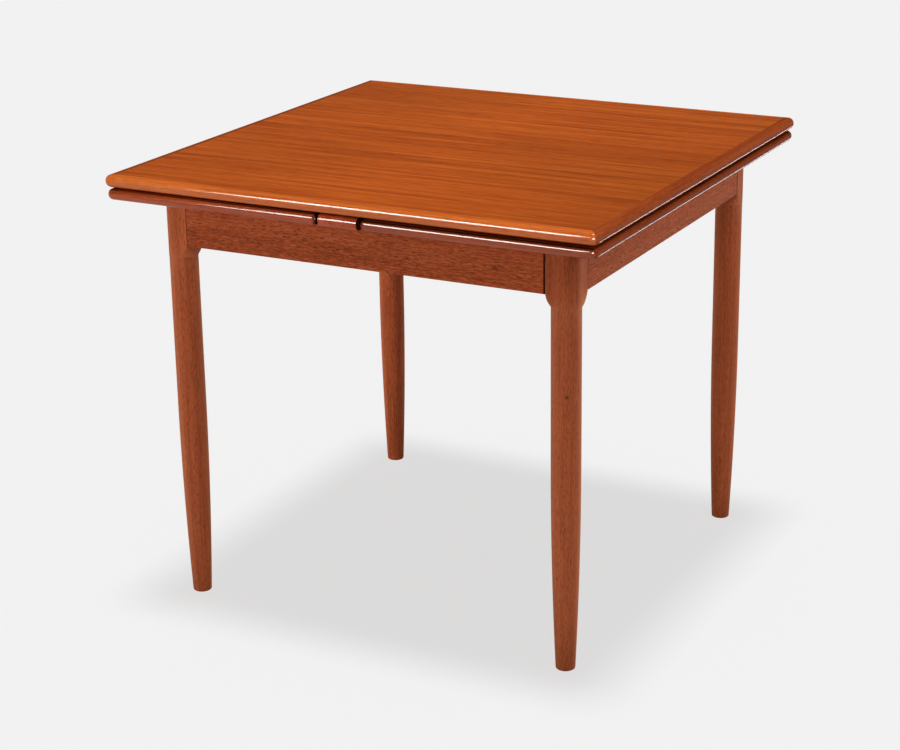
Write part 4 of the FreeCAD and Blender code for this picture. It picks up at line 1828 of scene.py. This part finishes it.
@dataclass
class Studio:
    """Pale floor, soft light and the camera."""

    camera_place: Point = (1.5861, -3.0684, 1.5169)
    yaw: float = 27.507
    pitch: float = 18.592
    roll: float = -0.778
    focal_pixels: float = 2131.4
    centre_pixel: Pair = (462.4, 359.7)
    image_size: tuple[int, int] = (900, 750)
    sensor: float = 36.0
    clip_end: float = 200.0
    floor_reach: float = 400.0
    floor_level: float = 0.85
    floor_shade: float = 0.245
    floor_glow: float = 0.695
    overhead_strength: float = 2.15
    overhead_angle: float = 11.0
    upper_level: float = 0.24
    upper_heights: Pair = (0.65, 0.95)
    back_level: float = 0.016
    backdrop_level: float = 0.888
    backdrop_heights: Pair = (0.04, 0.12)
    lamps: tuple[Lamp, ...] = (
        Lamp(
            "key_lamp", Shows.COLOUR, (0.0, 0.0, 0.6), (0.48, -0.60, 0.64), 4.0, (1.8, 1.4), 5.8,
            spared=("right_apron",),
        ),
        Lamp(
            "left_lamp", Shows.COLOUR, (0.0, 0.0, 0.4), (-0.70, -0.71, 0.09), 4.6, (2.0, 1.2), 10.0,
        ),
        Lamp(
            "right_lamp", Shows.COLOUR, (0.0, 0.0, 0.5), (0.90, 0.08, 0.43), 4.6, (2.0, 1.2), 8.0,
            spared=("right_apron",),
        ),
        Lamp(
            "fill_lamp", Shows.COLOUR, (-0.34, 0.34, 0.35), (-0.30, -0.95, 0.10), 4.6, (2.0, 1.2),
            6.0, only=("back_left_turned_leg",),
        ),
        Lamp(
            "strip_lamp", Shows.GLINT, (0.1, -0.42, 0.72), (-0.45, -0.81, 0.375), 4.0, (1.3, 1.3),
            38.0,
        ),
        Lamp(
            "small_lamp", Shows.GLINT, (0.42, -0.42, 0.71), (0.554, -0.819, 0.16), 4.2, (1.5, 1.5),
            70.0,
        ),
        Lamp(
            "edge_lamp", Shows.GLINT, (0.425, 1.525, 0.72), (0.062, 0.0, -0.998), 0.69, (1.5, 0.30),
            14.0,
        ),
    )

    def camera(self) -> None:
        """Set the camera where the photograph was taken from."""
        yaw, pitch, roll = (math.radians(angle) for angle in (self.yaw, self.pitch, self.roll))
        level = Vector((math.cos(yaw), math.sin(yaw), 0.0))
        ahead = Vector((-math.sin(yaw), math.cos(yaw), 0.0))
        forward = math.cos(pitch) * ahead - Vector((0.0, 0.0, math.sin(pitch)))
        upright = level.cross(forward)
        right = math.cos(roll) * level + math.sin(roll) * upright
        up = math.cos(roll) * upright - math.sin(roll) * level
        data = bpy.data.cameras.new("camera")
        width, height = self.image_size
        data.sensor_width = self.sensor
        data.lens = self.focal_pixels * self.sensor / width
        data.shift_x = (width / 2 - self.centre_pixel[0]) / width
        data.shift_y = (self.centre_pixel[1] - height / 2) / width
        data.clip_end = self.clip_end
        made = add_object("camera", data)
        turn = Matrix((right, up, -forward)).transposed().to_4x4()
        made.matrix_world = Matrix.Translation(self.camera_place) @ turn
        bpy.context.scene.camera = made

    def floor(self) -> bpy.types.Object:
        """Make the floor, evenly pale to the camera and in reflections, with the table's shadow.

        Returns:
            The floor.
        """
        reach = self.floor_reach
        mesh = bpy.data.meshes.new("floor")
        square = [(-reach, -reach, 0), (reach, -reach, 0), (reach, reach, 0), (-reach, reach, 0)]
        mesh.from_pydata(square, [], [(0, 1, 2, 3)])
        made = add_object("floor", mesh)
        material = bpy.data.materials.new("pale_floor")
        graph = ShaderGraph(material)
        seen = graph.seen()
        graph.shade({
            "Base Color": graph.blend(seen, (self.floor_level,) * 3, (self.floor_shade,) * 3),
            "Roughness": 1.0,
            "Specular IOR Level": 0.0,
            "Emission Color": WHITE,
            "Emission Strength": graph.math("MULTIPLY", seen, self.floor_glow),
        })
        mesh.materials.append(material)
        return made

    def sky(self) -> None:
        """Make the surroundings: dim, but pale to the camera and, low down, in reflections."""
        world = bpy.data.worlds.new("studio")
        bpy.context.scene.world = world
        graph = ShaderGraph(world, "ShaderNodeBackground", "ShaderNodeOutputWorld")
        height = graph.split(graph.node("ShaderNodeTexCoord").outputs["Generated"])["Z"]
        level = graph.spread(height, self.upper_heights, (self.back_level, self.upper_level))
        backdrop = graph.spread(height, self.backdrop_heights, (self.backdrop_level, 0.0))
        backdrop = graph.math("MULTIPLY", backdrop, graph.seen())
        plain = graph.node("ShaderNodeLightPath").outputs["Is Camera Ray"]
        plain = graph.math("MULTIPLY", plain, self.backdrop_level)
        backdrop = graph.math("MAXIMUM", backdrop, plain)
        graph.shade({"Color": WHITE, "Strength": graph.math("MAXIMUM", level, backdrop)})

    def overhead(self) -> None:
        """Hang the soft lamp straight above."""
        data = bpy.data.lights.new("overhead_lamp", "SUN")
        data.energy = self.overhead_strength
        data.angle = math.radians(self.overhead_angle)
        add_object("overhead_lamp", data)

    def build(self, edges: Sequence[bpy.types.Object]) -> None:
        """Set up camera, floor and light.

        Args:
            edges: The lacquered edges, which show the lamps' glints.
        """
        bpy.context.scene.view_settings.view_transform = "Standard"
        self.camera()
        floor = self.floor()
        self.sky()
        self.overhead()
        for lamp in self.lamps:
            lamp.build(floor, edges)


def main() -> None:
    """Build the table piece by piece, then the studio."""
    logging.basicConfig(level=logging.INFO, format="%(message)s")
    edges = LooseTop().build()
    FeltStrips().build()
    edges += DrawLeaf(Side.RIGHT, seed=0.5, tone=1.0, seam=Seam.OVER).build()
    # The left leaf's long edges are made lighter as painted light.
    edges += DrawLeaf(Side.LEFT, seed=8.4, tone=1.4, seam=Seam.SIDE_OVER).build()
    edges += UnderFrame().build()
    WoodScrews().build()
    Studio().build(edges)


if __name__ == "__main__":
    main()
